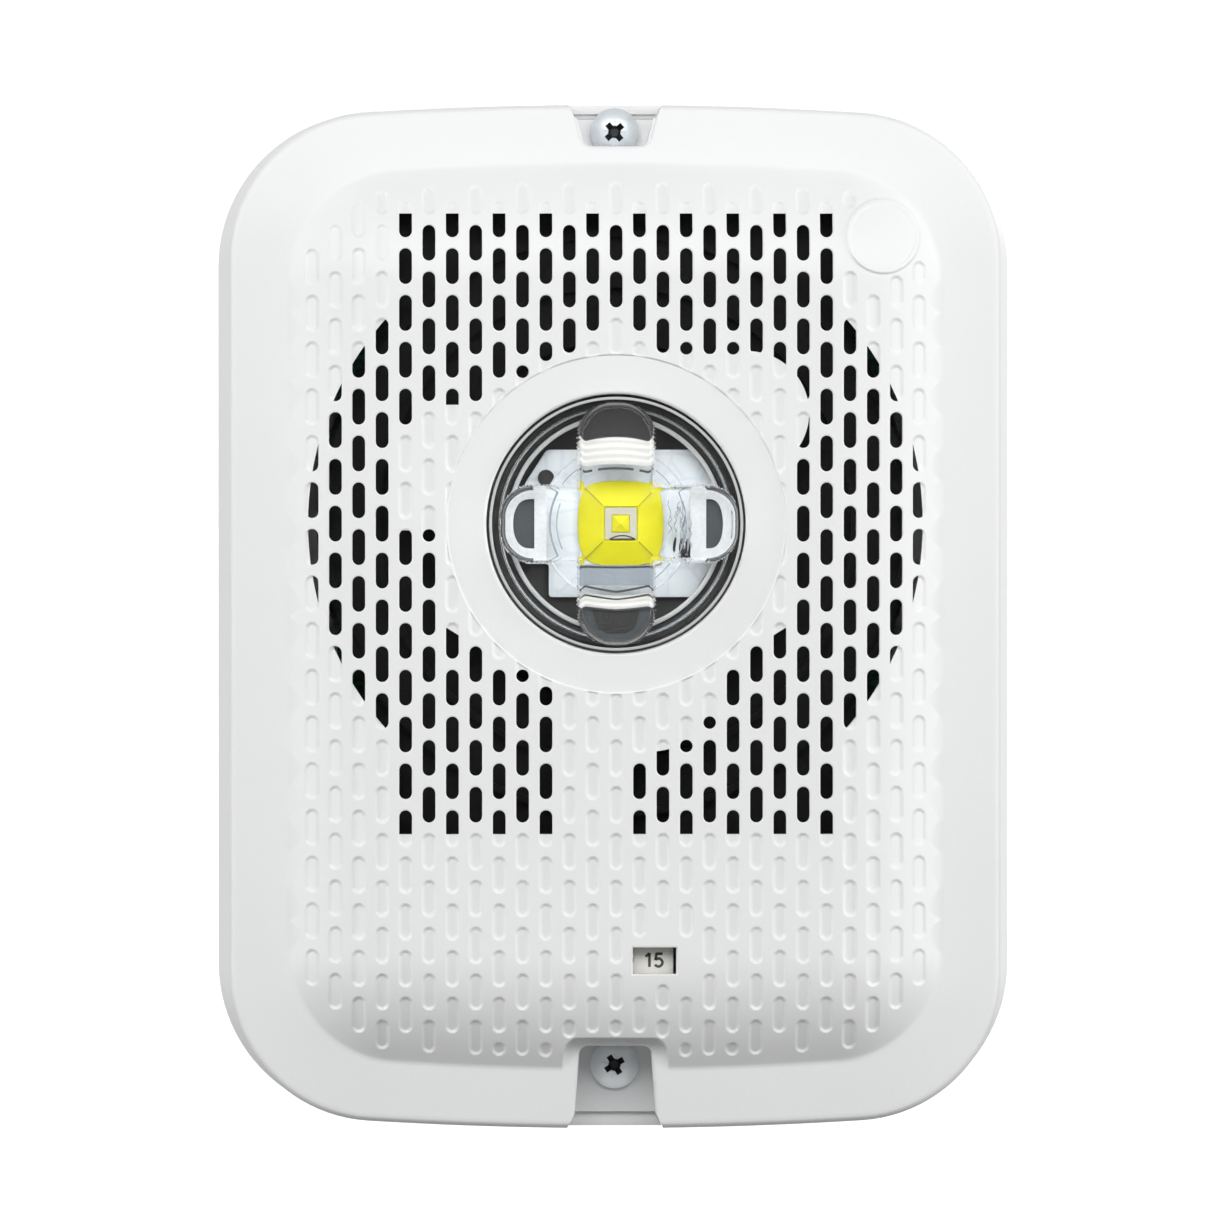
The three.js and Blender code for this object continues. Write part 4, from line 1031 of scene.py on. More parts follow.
def bulge(x, y):
    # Two crossed bars with round ends over a low disc. A bar rises from its outline to its flat top as a
    # quarter of a rounded square: the root of one less the power of the share of the way in.
    def bar(u, v, one):
        middle, reach = (one["low"] + one["high"]) / 2, (one["high"] - one["low"]) / 2
        du, dv = np.abs(u - middle) - reach + one["corner"], np.abs(v) - lens["half"] + one["corner"]
        outside = np.hypot(np.clip(du, 0, None), np.clip(dv, 0, None)) + np.minimum(np.maximum(du, dv), 0)
        share = np.clip((one["corner"] - outside) / lens["edgeRound"], 0, 1)
        return lens["rise"] * (1 - (1 - share) ** 2.6) ** (1 / 2.6)

    height = np.maximum(bar(x, y, lens["level"]), bar(y, x, lens["upright"]))
    r = np.hypot(x, y)
    return np.maximum(height, lens["discRise"] * step(lens["disc"] + 0.15, lens["disc"] - 0.25, r))


def ripples(x, y):
    # prism steps beside the middle: a bent sine wave of x, faded out at its ends
    wave = np.sin(x * 2 * np.pi / 0.95 + 0.9 * np.sin(y * 1.3))
    return lens["streaks"] * wave * step(7.0, 7.6, x) * step(11.0, 10.4, x) * step(4.4, 3.4, np.abs(y))


def makeLens():
    # rings from the middle of the front outwards, over the rim and back to the middle behind
    steps = 288
    front = np.concatenate([np.linspace(0, 17.1, 130), [17.3, 17.42, 17.5]])
    rows = [(r, lens["faceZ"] - (0.3 - math.sqrt(max(0.09 - max(r - 17.2, 0) ** 2, 0))), 1) for r in front]
    rows += [(17.5, 25.6, 0), (17.5, 24.2, 0), (17.55, 24.0, 0), (19.45, 24.0, 0), (19.6, 23.85, 0),
             (19.6, 22.8, 0), (19.45, 22.6, 0), (16.3, 22.6, 0), (16.1, 22.8, 0), (16.1, 25.5, 0)]
    rows += [(r, lens["faceZ"] - lens["wall"], 2) for r in np.linspace(15.9, 0, 110)]
    turn = np.arange(steps) / steps * 2 * np.pi
    radius = np.array([r for r, _, _ in rows])[:, None]
    x, y = radius * np.cos(turn), radius * np.sin(turn)
    z = np.repeat(np.array([z for _, z, _ in rows])[:, None], steps, 1)
    kind = np.array([k for _, _, k in rows])[:, None]
    z = z + np.where(kind == 1, bulge(x, y), 0) + np.where(kind == 2, ripples(x, y), 0)
    points = np.stack([x, y + lensY, z], -1).reshape(-1, 3)
    piece = newMesh("clearLens", points, gridFaces(len(rows), steps), "clear", "appliance", ["lens"])
    merged(piece)
    shadeSmooth(piece.data, 50)
    piece.visible_shadow = False
    # the bright bead round the lens's front edge
    bead = lens["faceZ"]
    points, faces = revolved([(17.12, bead - 0.25), (17.5, bead - 0.25), (17.5, bead), (17.42, bead + 0.1),
                              (17.2, bead + 0.1), (17.12, bead), (17.12, bead - 0.25)], (0, lensY), 144)
    merged(newMesh("lensBead", points, faces, "pale", "appliance"))
    return piece


def ribbon(path, width, z0, z1, closed=False):
    # a flat strip along a path, half its width to each side of every point
    p = np.asarray(path, float)
    way = np.roll(p, -1, 0) - np.roll(p, 1, 0) if closed else np.gradient(p, axis=0)
    side = np.stack([-way[:, 1], way[:, 0]], -1) / np.linalg.norm(way, axis=1)[:, None] * width / 2
    low, high = np.full((len(p), 1), z0), np.full((len(p), 1), z1)
    rows = np.stack([np.hstack([p + side, low]), np.hstack([p - side, low]),
                     np.hstack([p - side, high]), np.hstack([p + side, high])], 1)
    if closed:
        rows = np.concatenate([rows, rows[:1]])
    faces = gridFaces(len(rows), 4).tolist()
    if not closed:
        faces += [[3, 2, 1, 0], [len(rows) * 4 - 4 + k for k in range(4)]]
    return rows.reshape(-1, 3), faces


def slab(half, low, high, z0, z1, wave=0.0, pitch=1.0, across=41, along=28):
    # a plate between two curves y = low(x) and y = high(x); its top is a sine wave of the share between them
    x = np.linspace(-half, half, across)[:, None]
    share = np.linspace(0, 1, along)[None, :]
    y = low(x) + (high(x) - low(x)) * share
    top = z1 - wave * (0.5 + 0.5 * np.cos((high(x) - low(x)) * share / pitch * 2 * np.pi))
    upper = np.stack([x + 0 * y, y, top], -1)
    lower = np.stack([x + 0 * y, y, np.full_like(y, z0)], -1)[:, ::-1]
    rows = np.concatenate([upper, lower], 1)
    count = 2 * along
    faces = gridFaces(across, count).tolist()
    faces += [list(range(count))[::-1], [(across - 1) * count + k for k in range(count)]]
    return rows.reshape(-1, 3), faces


def placedInlay(name, parts, finish, sharp=30):
    # pieces set into the lens from behind, worked out from the lens centre
    points, faces = joined(parts)
    piece = newMesh(name, points + (0, lensY, 0), faces, finish, "appliance", sharp=sharp)
    return merged(piece)


def halfRound(start, end, half, power, side):
    # a D: x runs with a power of the cosine, y with the sine
    t = np.linspace(-np.pi / 2, np.pi / 2, 40)
    return np.column_stack([side * (start + (end - start) * np.abs(np.cos(t)) ** power), half * np.sin(t)])


def arcPath(radius, first, last, steps=40):
    a = np.radians(np.linspace(first, last, steps))
    return np.column_stack([radius * np.cos(a), radius * np.sin(a)])


opticRim = dict(
    z=25.65, thickness=0.35, half=5.0, windowHalf=3.4,
    left=dict(side=-1, inner=9.6, reach=15.2, windowInner=11.3, windowReach=14.2),
    right=dict(side=1, inner=10.2, reach=16.1, windowInner=12.4, windowReach=14.7),
)


def makeOpticRims(look=opticRim):
    # milky rims under the ends of the level bar, each with a dark D-shaped window
    z = look["z"]
    for one in (look["left"], look["right"]):
        outer = halfRound(one["inner"], one["reach"], look["half"], 0.5, one["side"]) + (0, lensY)
        opening = halfRound(one["windowInner"], one["windowReach"], look["windowHalf"], 0.6, one["side"])
        rim = makeSolid("opticRim", *prism(outer, z - look["thickness"], z))
        boolean(rim, "DIFFERENCE", [cutter(prism(opening + (0, lensY), 20, 30))])
        settle(rim, finishes["milky"], "appliance")
        bevelled(rim, 0.12, 3)
        shade = halfRound(one["windowInner"] - 0.3, one["windowReach"] + 0.3, look["windowHalf"] + 0.3, 0.6,
                          one["side"])
        placedInlay("windowShade", [prism(shade, z - 0.75, z - 0.5)], "slate")


inlay = dict(
    z=25.62, thin=0.25, half=4.85, ridge=0.1,
    bands=(((7.75, 0.5), (11.35, 0.75), 0.95), ((-11.25, -0.55), (-9.3, -0.6), 0.8)),
    ends=((1, 11.6, 16.5, "dark"), (-1, 11.3, 16.4, "slate")),
    endMiddle=((-3.3, -11.9), (3.3, -11.9), (2.6, -14.3), (1.2, -15.1), (-1.2, -15.1), (-2.6, -14.3)),
    step=(-8.5, -5.7), dashes=((-4.5, -3.3), (-2.5, 2.4), (3.2, 4.5)), dashWidth=0.32,
    bends=((-9.35, 0.9, 0.3), (-10.4, 0.75, 0.22), (-11.9, 0.5, 0.25)), streaks=15,
    arcs=((9.15, 148, 212, 0.28), (8.2, 160, 205, 0.14), (10.35, 30, 62, 0.16), (10.35, 118, 152, 0.16),
          (10.35, 208, 242, 0.16), (10.35, 298, 330, 0.16), (9.2, 34, 58, 0.12), (9.2, 122, 146, 0.12),
          (9.2, 302, 328, 0.12), (9.6, -26, 27, 0.2), (11.1, -20, 24, 0.16)),
)


def makeInlays(look=inlay):
    # what the upright bar shows: ridged pale bands and dark ends, then its lines and streaks
    z, half = look["z"], look["half"]
    base = z - look["thin"]
    bow = lambda height, rise: lambda x: height + rise * (1 - (x / half) ** 2)
    bands = [slab(half, bow(*low), bow(*high), base, z, look["ridge"], pitch)
             for low, high, pitch in look["bands"]]
    placedInlay("prismBands", bands, "band", 60)
    for side, near, far, finish in look["ends"]:
        t = np.linspace(0, np.pi, 40)
        across = half * np.sign(np.cos(t)) * np.abs(np.cos(t)) ** 0.55
        loop = np.column_stack([across, side * (near + (far - near) * np.sin(t) ** 0.8)])
        placedInlay("barEnd", [prism(loop, base - 0.5, base - 0.25)], finish)
    placedInlay("barEndMiddle", [prism(np.array(look["endMiddle"]), base - 0.2, base - 0.05)], "dark")
    low, high = look["step"]
    flat = slab(half, bow(low, 0), bow(high, 0), base - 0.6, base - 0.4)
    placedInlay("barStep", [flat], "ash", 60)
    x = np.linspace(-1, 1, 30)
    u = half * x
    path = lambda across, height: np.column_stack([across, height])
    lines = []
    for first, last in look["dashes"]:
        at = (first + last) / 2 + (last - first) / 2 * x
        lines.append(ribbon(path(at, 7.0 + 0.65 * (1 - (at / half) ** 2)), look["dashWidth"], z, z + 0.04))
    for depth, rise, width in look["bends"]:
        lines.append(ribbon(path(u, depth + rise * np.abs(x) ** 1.3), width, z + 0.02, z + 0.06))
    lines.append(ribbon(path(u * 0.98, 12.05 - 0.75 * x * x), 0.16, z, z + 0.04))
    lines.append(ribbon(path(u * 1.1, -6.0 + 0.15 * x * x), 0.24, base - 0.35, base - 0.3))
    placedInlay("lensLines", lines, "slate")
    random = np.random.default_rng(7)
    streaks = []
    for _ in range(look["streaks"]):
        at, reach, middle = random.uniform(7.3, 10.6), random.uniform(0.5, 1.9), random.uniform(-2.6, 2.6)
        wave = 0.16 * np.sin(x * random.uniform(2, 6) + random.uniform(0, 6))
        streaks.append(ribbon(path(at + wave, middle + reach * x), random.uniform(0.07, 0.17), z, z + 0.04))
    placedInlay("lensStreaks", streaks, "ash")
    arcs = [ribbon(arcPath(radius, first, last), width, base, base + 0.05)
            for radius, first, last, width in look["arcs"]]
    placedInlay("lensArcs", arcs, "ash")


cup = dict(
    profile=((0, 16.5), (19.6, 16.5), (19.6, 22.4), (17.0, 22.4), (17.0, 21.9), (16.2, 21.9), (16.2, 21.2),
             (15.1, 21.2), (15.1, 17.7), (0, 17.7)),
    # the first, pale ring stands for the lens's inner rim catching light: a painted reflection
    rings=((14.4, 15.05, 22.2, "pale"), (15.75, 16.12, 22.1, "ash")),
)


def makeCup(look=cup):
    # stepped dark cup behind the lens, with two lighter rings on its steps; the pale inner one is a painted
    # reflection of the clear lens's inner rim
    points, faces = revolved(rounded(look["profile"], 0.18, 3), (0, lensY), 144)
    merged(newMesh("strobeCup", points, faces, "cup", "appliance", ["strobe_baffle"]))
    for low, high, top, finish in look["rings"]:
        ends = min(0.12, (high - low) / 3)
        profile = rounded([(low, top - 1.2), (high, top - 1.2), (high, top - ends), ((low + high) / 2, top),
                           (low, top - ends), (low, top - 1.2)], 0.1, 3)
        points, faces = revolved(profile, (0, lensY), 144)
        merged(newMesh("strobeRing", points, faces, finish, "appliance"))


ledBoard = dict(
    z=17.8, thickness=1.4, corner=0.5, hole=0.75, holes=((-9.6, 6.3), (9.6, -3.2)),
    outline=((-9.2, -10.2), (10.5, -10.2), (13.6, -5.4), (13.6, 5.4), (10.5, 10.2), (-9.5, 10.2),
             (-12.6, 5.4), (-12.6, -5.6), (-9.2, -5.6)),
)


def makeLedBoard(look=ledBoard):
    # white board with slanted corners, its lower left corner cut square, and two screw holes
    outline = np.array(look["outline"])
    smooth = []
    for before, at, after in zip(np.roll(outline, 1, 0), outline, np.roll(outline, -1, 0)):
        back, on = before - at, after - at
        start = at + back / np.linalg.norm(back) * look["corner"]
        end = at + on / np.linalg.norm(on) * look["corner"]
        smooth += [(1 - t) ** 2 * start + 2 * t * (1 - t) * at + t * t * end for t in np.linspace(0, 1, 5)]
    outline = np.array(smooth) + (0, lensY)
    board = makeSolid("ledBoard", *prism(outline, look["z"], look["z"] + look["thickness"]))
    holes = [prism(circleLoop(x, lensY + y, look["hole"], 32), 10, 30) for x, y in look["holes"]]
    boolean(board, "DIFFERENCE", [cutter(*holes)])
    settle(board, finishes["board"], "appliance", "led_board")
    bevelled(board, 0.12)


def bevelled(piece, width, segments=2):
    # rounds the sharp edges, in millimetres
    change = piece.modifiers.new("edges", "BEVEL")
    change.width, change.segments = width * mm, segments
    change.limit_method, change.angle_limit = "ANGLE", math.radians(40)
    change.use_clamp_overlap = True
    applyModifiers(piece)
    shadeSmooth(piece.data, 35)


phosphor = dict(half=5.75, bow=0.35, power=4.2, x=0.7, foot=19.9, shoulder=20.3, top=21.75, inner=2.45,
                peak=1.15, floor=21.6, creaseEnd=0.93)


def pillow(half, bow, power, steps):
    # a square with bowed sides and rounded corners, one closed outline
    a = (np.arange(steps) + 0.5) / steps * 2 * np.pi
    c, s = np.cos(a), np.sin(a)
    r = (np.abs(c) ** power + np.abs(s) ** power) ** (-1 / power)
    return np.stack([half * r * c, half * r * s], -1) * (1 + bow / half * np.cos(2 * a[:, None]) ** 2 * 0.5)


def makePhosphor(look=phosphor):
    # a pillow whose outline shrinks from foot to top in four slanted sides, round a sunk square
    steps = 160
    big = pillow(look["half"], look["bow"], look["power"], steps)
    a = (np.arange(steps) + 0.5) / steps * 2 * np.pi
    square = np.stack([np.cos(a), np.sin(a)], -1)
    square = square / np.abs(square).max(1, keepdims=True)
    at = np.array((look["x"], lensY))
    shoulder, top, floor = look["shoulder"], look["top"], look["floor"]
    rows = [(big, look["foot"]), (big, shoulder - 0.35), (big * 0.985, shoulder - 0.1)]
    rows.append((big * 0.955, shoulder))
    for share in np.linspace(0.06, 0.97, 12):
        outline = big * 0.955 * (1 - share) + square * look["inner"] * share
        rows.append((outline, shoulder + (top - shoulder) * share))
    rows += [(square * look["inner"], top), (square * look["inner"] * 0.97, top - 0.04),
             (square * look["inner"] * 0.94, floor - 0.2), (square * 0.3, floor - 0.2)]
    points, faces = stacked([(p + at, z) for p, z in rows])
    newMesh("phosphorPillow", points, faces, "phosphor", "appliance", ["led_phosphor"], sharp=12)
    # the chip's grey frame with a small pyramid in it and a dark bond line below
    inner, peak = look["inner"] * 0.9, look["peak"]
    border = [(square * inner, floor - 0.15), (square * inner, floor), (square * inner * 0.97, floor + 0.04),
              (square * (peak + 0.1), floor + 0.04), (square * (peak + 0.1), floor - 0.15)]
    points, faces = stacked([(p + at, z) for p, z in border + border[:1]], caps=False)
    merged(newMesh("chipFrame", points, faces, "chip", "appliance", sharp=20))
    creases = []
    for sx, sy in ((1, 1), (-1, 1), (-1, -1), (1, -1)):
        near, far = look["inner"] * np.array((sx, sy)), look["half"] * look["creaseEnd"] * np.array((sx, sy))
        shares = np.linspace(0, look["creaseEnd"], 8)
        points, faces = ribbon(near + (far - near) * shares[:, None] + at, 0.09, 0, 0.03)
        points[:, 2] += top + 0.01 - (top - shoulder) * np.repeat(shares, 4)
        creases.append((points, faces))
    merged(newMesh("creases", *joined(creases), "ochre", "appliance"))
    pyramid = [(square * peak, floor - 0.1), (square * peak, floor + 0.1), (square * 0.04, floor + 0.75)]
    points, faces = stacked([(p + at, z) for p, z in pyramid])
    newMesh("chipPyramid", points, faces, "phosphor", "appliance", sharp=12)
    u = np.linspace(-1, 1, 24)
    wires = [ribbon(np.column_stack([0.2 + 1.75 * u, -2.15 + rise * (1 - u * u)]) + at, width, floor,
                    floor + 0.12) for rise, width in ((0.0, 0.2), (0.5, 0.16))]
    merged(newMesh("bondLine", *joined(wires), "cup", "appliance"))


package = dict(half=5.7, corner=0.7, z0=19.3, z1=19.88)


def makeLedPackage(look=package):
    # ceramic carrier under the phosphor
    half = look["half"]
    outline = roundedBox(-half, -half, half, half, look["corner"], 6) + (phosphor["x"], lensY)
    carrier = makeSolid("ledPackage", *prism(outline, look["z0"], look["z1"]))
    settle(carrier, finishes["package"], "appliance", "led_package")
    bevelled(carrier, 0.1)


panHead = dict(
    radius=3.32, height=2.1, edge=0.85, foot=10.3, chamfer=0.12, power=3.2,
    recess=1.55, arm=0.46, deep=1.8, hub=((0.5, -1.8), (0.85, -0.4), (0.95, 0.4)),
    markReach=1.9, markHalf=0.09, markDeep=0.22,
    shank=1.55, thread=0.28, pitch=0.79, tip=0.75, plain=1.2, fade=0.6,
)


def barAcross(angle, reach, half):
    # the corners of a bar through the middle at an angle
    along = np.array([math.cos(angle), math.sin(angle)])
    side = np.array([-math.sin(angle), math.cos(angle)])
    return np.array([along * reach * s + side * half * t for s, t in ((-1, -1), (1, -1), (1, 1), (-1, 1))])


def makeShank(place, look=panHead):
    # threaded shank: the radius rises and falls as a triangle wave of height and turn together
    steps, rows = 28, 92
    z = np.linspace(look["tip"], look["foot"] + 0.2, rows)
    turnAt = np.arange(steps) / steps
    phase = (z[:, None] / look["pitch"] + turnAt) % 1
    wave = np.abs(phase - 0.5) * 2
    fade = np.clip((look["foot"] - look["plain"] - z[:, None]) / look["fade"], 0, 1)
    r = look["shank"] - look["thread"] * wave * fade
    r = r * np.clip(0.55 + (z[:, None] - look["tip"]) / 1.2, 0, 1)  # the tapered tip
    a = turnAt * 2 * np.pi
    shank = np.stack([r * np.cos(a), r * np.sin(a) + place, np.repeat(z[:, None], steps, 1)], -1)
    faces = gridFaces(rows, steps).tolist()
    faces += [list(range(steps))[::-1], list(range((rows - 1) * steps, rows * steps))]
    return makeSolid("shank", shank.reshape(-1, 3), faces)


def makeCaptiveScrew(name, one, turn, look=panHead):
    # pan head: a short side, then a flattened dome whose height falls with a power of the radius
    radius, foot, side, place = look["radius"], look["foot"], look["foot"] + look["edge"], one["screwY"]
    profile = [(0, foot), (radius - look["chamfer"], foot), (radius, foot + look["chamfer"]), (radius, side)]
    for t in np.linspace(0.12, 1, 12):
        r = radius * math.cos(t * np.pi / 2)
        profile.append((r, side + (look["height"] - look["edge"]) * (1 - (r / radius) ** look["power"])))
    head = makeSolid(name, *revolved(profile, (0, place), 72))
    merged(head)
    top = foot + look["height"]
    cuts = [cutter(stacked([(circleLoop(0, place, r, 20), top + z) for r, z in look["hub"]]))]
    arms = ((top - look["deep"], 0.6, 0.3), (top - 0.5, look["recess"] * 0.92, look["arm"] * 0.85),
            (top + 0.4, look["recess"], look["arm"]))
    for angle in (turn, turn + math.pi / 2):
        bars = [(barAcross(angle, reach, half) + (0, place), z) for z, reach, half in arms]
        cuts.append(cutter(stacked(bars)))
    between = turn + math.pi / 4
    for angle in (between, between + math.pi / 2):
        corners = barAcross(angle, look["markReach"], look["markHalf"]) + (0, place)
        cuts.append(cutter(prism(corners, top - look["markDeep"], top + 1)))
    boolean(head, "DIFFERENCE", cuts)
    boolean(head, "UNION", [makeShank(place)])
    # height, depth and radius of the painted shade in the cross recess
    recess = (place, top - 0.42, look["recess"] + 0.1)
    # a screw's own zinc tones, where given, are the bottom screw's lighter ones: painted light
    settle(head, zincPlate(name, recess, *one.get("zinc", ())), name, name)
    shadeSmooth(head.data, 32)


def oval(cx, cy, rx, ry, first=0, last=360, steps=28):
    a = np.radians(np.linspace(first, last, steps, endpoint=last - first < 360))
    return np.column_stack([cx + rx * np.cos(a), cy + ry * np.sin(a)])


# a plain set of figures as strokes in a box one high; each path says whether it is closed
strokes = {
    "0": dict(wide=0.66, paths=[(oval(0.33, 0.5, 0.27, 0.46), True)]),
    "1": dict(wide=0.44, paths=[(((0.03, 0.74), (0.17, 0.84), (0.30, 0.98)), False),
                                (((0.31, 1.0), (0.31, 0.5), (0.31, 0.0)), False)]),
    "3": dict(wide=0.66, paths=[(oval(0.31, 0.73, 0.25, 0.23, 150, -90), False),
                                (oval(0.31, 0.26, 0.29, 0.24, 90, -150), False)]),
    "5": dict(wide=0.68, paths=[(((0.62, 0.94), (0.4, 0.94), (0.16, 0.94)), False),
                                (((0.19, 0.97), (0.15, 0.7), (0.11, 0.48)), False),
                                (oval(0.33, 0.32, 0.28, 0.28, 140, -150), False)]),
    "7": dict(wide=0.66, paths=[(((0.04, 0.94), (0.3, 0.94), (0.64, 0.94)), False),
                                (((0.62, 0.96), (0.38, 0.5), (0.26, 0.0)), False)]),
    "8": dict(wide=0.66, paths=[(oval(0.33, 0.74, 0.23, 0.21), True), (oval(0.33, 0.27, 0.28, 0.25), True)]),
    "9": dict(wide=0.66, paths=[(oval(0.33, 0.67, 0.26, 0.28), True),
                                (oval(0.24, 0.64, 0.36, 0.62, 0, -78), False)]),
}
sliderLook = dict(
    labels=("15", "30", "75", "95", "110", "135", "185"), pitch=4.4, first=5.3, tall=1.95, space=0.18,
    stroke=0.37, widest=3.7, numberZ=(23.945, 23.98), stripEnd=7.95, stripHalf=2.6, stripZ=(22.95, 23.95),
    stem=dict(x=-20.0, half=1.5, low=7.7, high=23.0, headX=2.5, headY=2.7, headTop=7.9),
)


def makeSlider(look=sliderLook):
    # a strip with a stem and a wider head at its lower end, and its row of numbers
    low, _ = cadSize("candela_slider")
    y, stem = window["y"], look["stem"]
    about = lambda x, wide, tall: rectangle(x - wide, y - tall, x + wide, y + tall)
    strip = rectangle(low[0], y - look["stripHalf"], look["stripEnd"], y + look["stripHalf"])
    body = makeSolid("settingSlider", *prism(strip, *look["stripZ"]))
    boolean(body, "UNION", [
        cutter(prism(about(stem["x"], stem["half"], stem["half"]), stem["low"], stem["high"])),
        cutter(prism(about(stem["x"], stem["headX"], stem["headY"]), low[2], stem["headTop"])),
    ])
    # the strip's lighter finish is painted light against the window's shade
    settle(body, finishes["ivoryStrip"], "candela_slider", "candela_slider")
    bevelled(body, 0.15)
    tall = look["tall"]
    for k, text in enumerate(look["labels"]):
        wide = sum(strokes[c]["wide"] for c in text) + look["space"] * (len(text) - 1)
        squeeze = min(1.0, look["widest"] / (wide * tall))
        place = (look["first"] - k * look["pitch"], y)
        at, parts = -wide / 2, []
        for c in text:
            for path, closed in strokes[c]["paths"]:
                p = (np.asarray(path) + (at, -0.5)) * tall * (squeeze, 1)
                parts.append(ribbon(p + place, look["stroke"], *look["numberZ"], closed))
            at += strokes[c]["wide"] + look["space"]
        merged(newMesh("sliderNumber" + text, *joined(parts), "ink", "candela_slider"))


hornShroud = dict(halfWidth=33.0, top=57.0, bottom=-30.6, z=17.2, thickness=1.2, corner=4.0, disc=41.3,
                  opening=20.3, rings=(26.0, 33.5, 40.6), ringWidth=0.9, ringRise=1.8)


def makeHornShroud(look=hornShroud):
    # black sheet behind the grille with the horn's throat rings standing on it
    w, z0, z1 = look["halfWidth"], look["z"] - look["thickness"], look["z"]
    outline = roundedBox(-w, look["bottom"], w, look["top"], look["corner"], 7)
    sheet = makeSolid("hornShroud", *prism(outline, z0, z1))
    boolean(sheet, "UNION", [cutter(prism(circleLoop(0, lensY, look["disc"], 128), z0 + 0.1, z1 + 0.2))])
    boolean(sheet, "DIFFERENCE", [cutter(prism(circleLoop(0, lensY, look["opening"], 96), 0, beyond))])
    for radius in look["rings"]:
        one = cutter(prism(circleLoop(0, lensY, radius, 128), z1 - 0.3, z1 + look["ringRise"]))
        core = circleLoop(0, lensY, radius - look["ringWidth"], 128)
        boolean(one, "DIFFERENCE", [cutter(prism(core, 0, beyond))])
        boolean(sheet, "UNION", [one])
    settle(sheet, finishes["dark"], "appliance", "horn_body")
    shadeSmooth(sheet.data, 35)


plate = dict(
    inset=2.5, thickness=2.4, rimInset=3.7, rim=1.8, rimZ=6.4, tabHalf=5.1, tabEnd=70.95, tabZ=4.2,
    ledges=((69.08, 9.3), (69.7, 10.0)), ledgeGap=0.12, boss=3.3, bossZ=7.8,
    ribX=30.0, ribHalf=0.8, ribEnds=(10.0, 50.0), ribZ=4.8,
    openingHalf=23.0, openingEnds=(12.5, 33.5), openingCorner=2.0,
    slotX=(-23.0, 0.0, 23.0), slotY=41.65, slotHalf=1.9, slotRadius=2.1, hole=1.75,
)


def makePlate(look=plate):
    # plate with a raised rim, ledges at the notch ends, screw bosses, ribs, wire openings and box slots
    fine = lambda inset: outlinePoints(cover["skirt"], inset, 14, 6, 20)
    top = look["thickness"]
    whole = makeSolid("mountingPlate", *prism(fine(look["inset"]), 0.0, top))
    rim = makeSolid("rim", *prism(fine(look["rimInset"]), 0.2, look["rimZ"]))
    boolean(rim, "DIFFERENCE", [cutter(prism(fine(look["rimInset"] + look["rim"]), top, 10))])
    adds = [rim]
    for one in notchShapes.values():
        s, y = one["side"], one["screwY"]
        ends = sorted((y - 4 * s, look["tabEnd"] * s))
        tab = rectangle(-look["tabHalf"], ends[0], look["tabHalf"], ends[1])
        adds.append(cutter(prism(tab, 0, look["tabZ"])))
        adds += [cutter(prism(flare(one, start, look["tabEnd"], look["ledgeGap"]), 0, z))
                 for start, z in look["ledges"]]
        adds.append(cutter(prism(circleLoop(0, y, look["boss"], 40), 0.2, look["bossZ"])))
    for x in (-look["ribX"], look["ribX"]):
        for sy in (-1, 1):
            y0, y1 = sorted(sy * end for end in look["ribEnds"])
            rib = rectangle(x - look["ribHalf"], y0, x + look["ribHalf"], y1)
            adds.append(cutter(prism(rib, 1, look["ribZ"])))
    boolean(whole, "UNION", adds)
    cuts = []
    for side in (-1, 1):
        y0, y1 = sorted(side * end for end in look["openingEnds"])
        loops = [roundedBox(-look["openingHalf"], y0, look["openingHalf"], y1, look["openingCorner"], 6)]
        slot = stadiumLoop(0, -look["slotHalf"], look["slotHalf"], look["slotRadius"], 12)[:, ::-1] * (1, -1)
        loops += [slot + (x, side * look["slotY"]) for x in look["slotX"]]
        cuts += [prism(loop, -1, top + 1) for loop in loops]
    cuts += [prism(circleLoop(0, one["screwY"], look["hole"], 24), -1, 12) for one in notchShapes.values()]
    boolean(whole, "DIFFERENCE", [cutter(*cuts)])
    settle(whole, finishes["plate"], "wall_plate", "mounting_plate")
    bevelled(whole, 0.25)


carried = {
    "white": ("rear_cover",),
    "zinc": ("rear_cover_screw_", "terminal_screw_"),
    "dark": ("horn_back_plate", "pin_header", "controller_chip", "led_board_screw_"),
    "brass": ("horn_diaphragm",),
    "ceramic": ("piezo_element",),
    "tin": ("plug_pin_", "terminal_contact_", "terminal_clamp_", "shorting_spring"),
    "green": ("main_board",),
    "sleeve": ("flash_capacitor_",),
    "grey": ("inductor", "candela_switch"),
    "blue": ("tone_switch", "terminal_block"),
    "ivory": ("tone_selector",),
    "label": ("rating_label",),
}


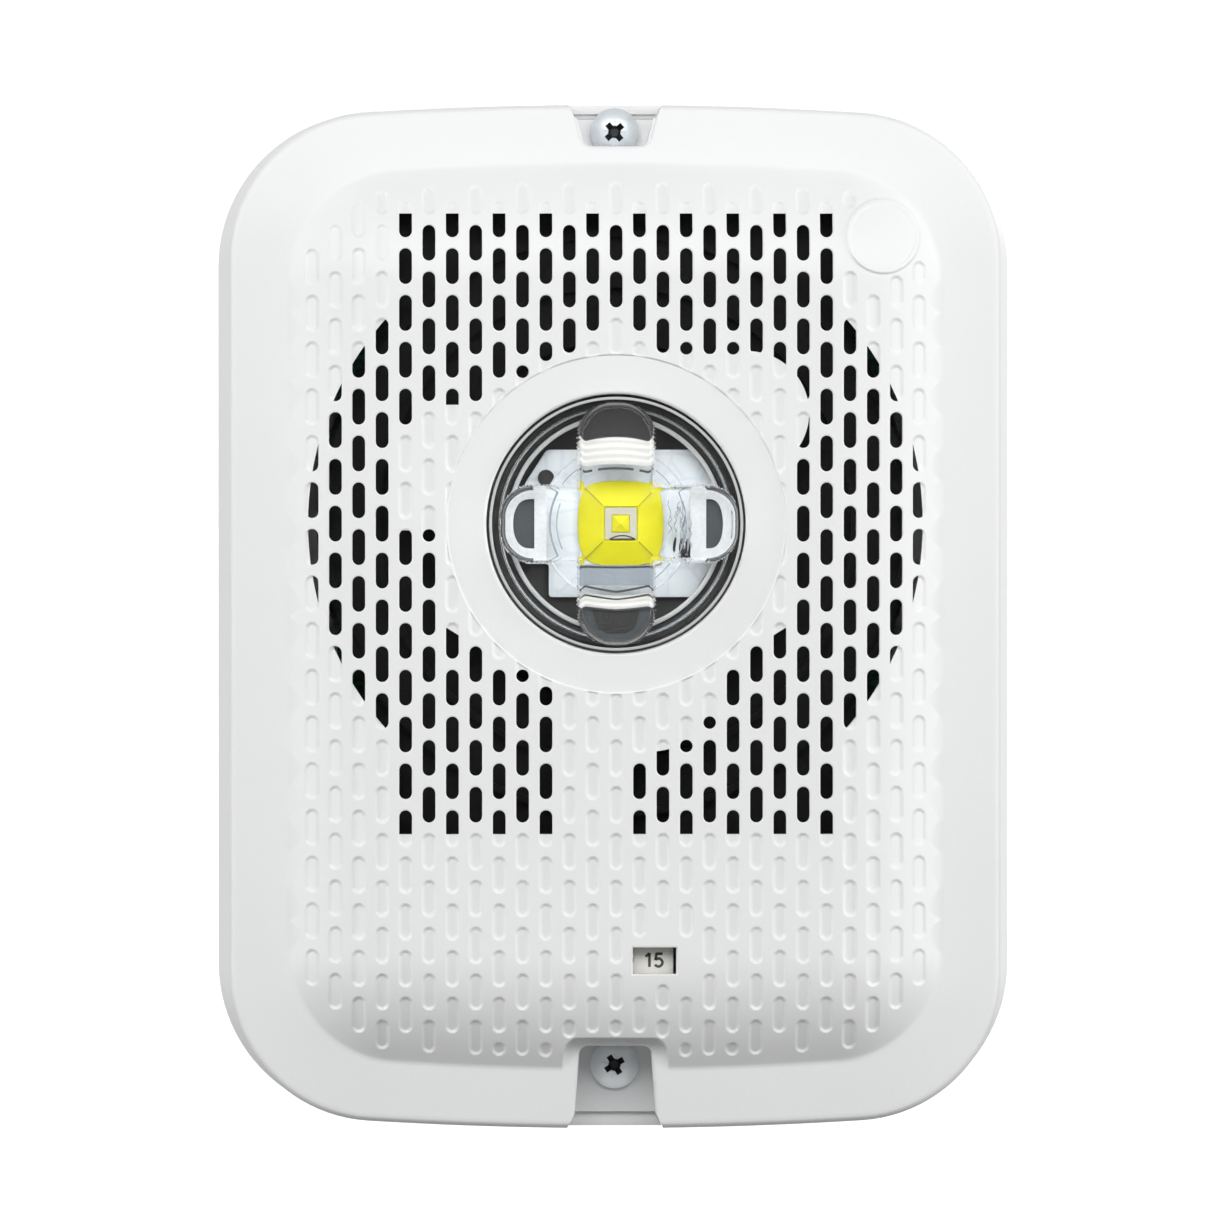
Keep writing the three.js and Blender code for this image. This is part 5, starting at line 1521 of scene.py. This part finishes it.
def paintCarried():
    for finish, names in carried.items():
        for name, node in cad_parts.items():
            if name.startswith(names) and not node.hide_render:
                node.data.materials.clear()
                node.data.materials.append(finishes[finish].material)


stageLook = dict(half=3.0, floorZ=-0.6, front=-3.0, curve=0.5, wallY=2.6, top=3.0, glow=1.0)


def makeStage(look=stageLook):
    # a floor that curves up into a back wall; the wall glows a little so that it stays clean white
    f = Finish("studioPaper", "")
    height = f.node("ShaderNodeSeparateXYZ", None, {"Vector": f.place}, 2)
    glow = f.node("ShaderNodeValToRGB", {"stops": [(0.0, (0.0, 0.0, 0.0)), (1.0, (1.0, 1.0, 1.0))]},
                  {"Fac": height * 2.0 + 1.4})
    f.finish(colour=f.blend(f.noise(3, 2), (0.84, 0.84, 0.84), (0.86, 0.86, 0.86)), roughness=0.9,
             emission=glow, emissionStrength=look["glow"])
    a = np.linspace(-np.pi / 2, 0, 16)
    y, z, curve = look["wallY"] - look["curve"], look["floorZ"] + look["curve"], look["curve"]
    profile = [(look["front"], look["floorZ"])]
    profile += [(y + curve * math.cos(t), z + curve * math.sin(t)) for t in a]
    profile.append((look["wallY"], look["top"]))
    points = [(x, y, z) for y, z in profile for x in (-look["half"], look["half"])]
    faces = [[2 * i, 2 * i + 1, 2 * i + 3, 2 * i + 2] for i in range(len(profile) - 1)]
    mesh = bpy.data.meshes.new("studio")
    mesh.from_pydata(points, [], faces)
    mesh.materials.append(f.material)
    mesh.shade_smooth()
    paper = bpy.data.objects.new("studio", mesh)
    bpy.context.scene.collection.objects.link(paper)
    paper.visible_diffuse = False  # it gives the object no light from behind or below


makeFrontCover()
print("lens and strobe")
makeCup()
makeLedBoard()
makeLedPackage()
makePhosphor()
makeLens()
makeOpticRims()
makeInlays()
print("horn, screws, slider and wall plate")
makeHornShroud()
makeCaptiveScrew("captive_screw_top", notchShapes["top"], 0.72)
makeCaptiveScrew("captive_screw_bottom", notchShapes["bottom"], 0.55)
makeSlider()
makePlate()
paintCarried()
print("finishes on the carried-over nodes; stage, camera and lights next")
makeStage()
makeCamera()
makeLights()
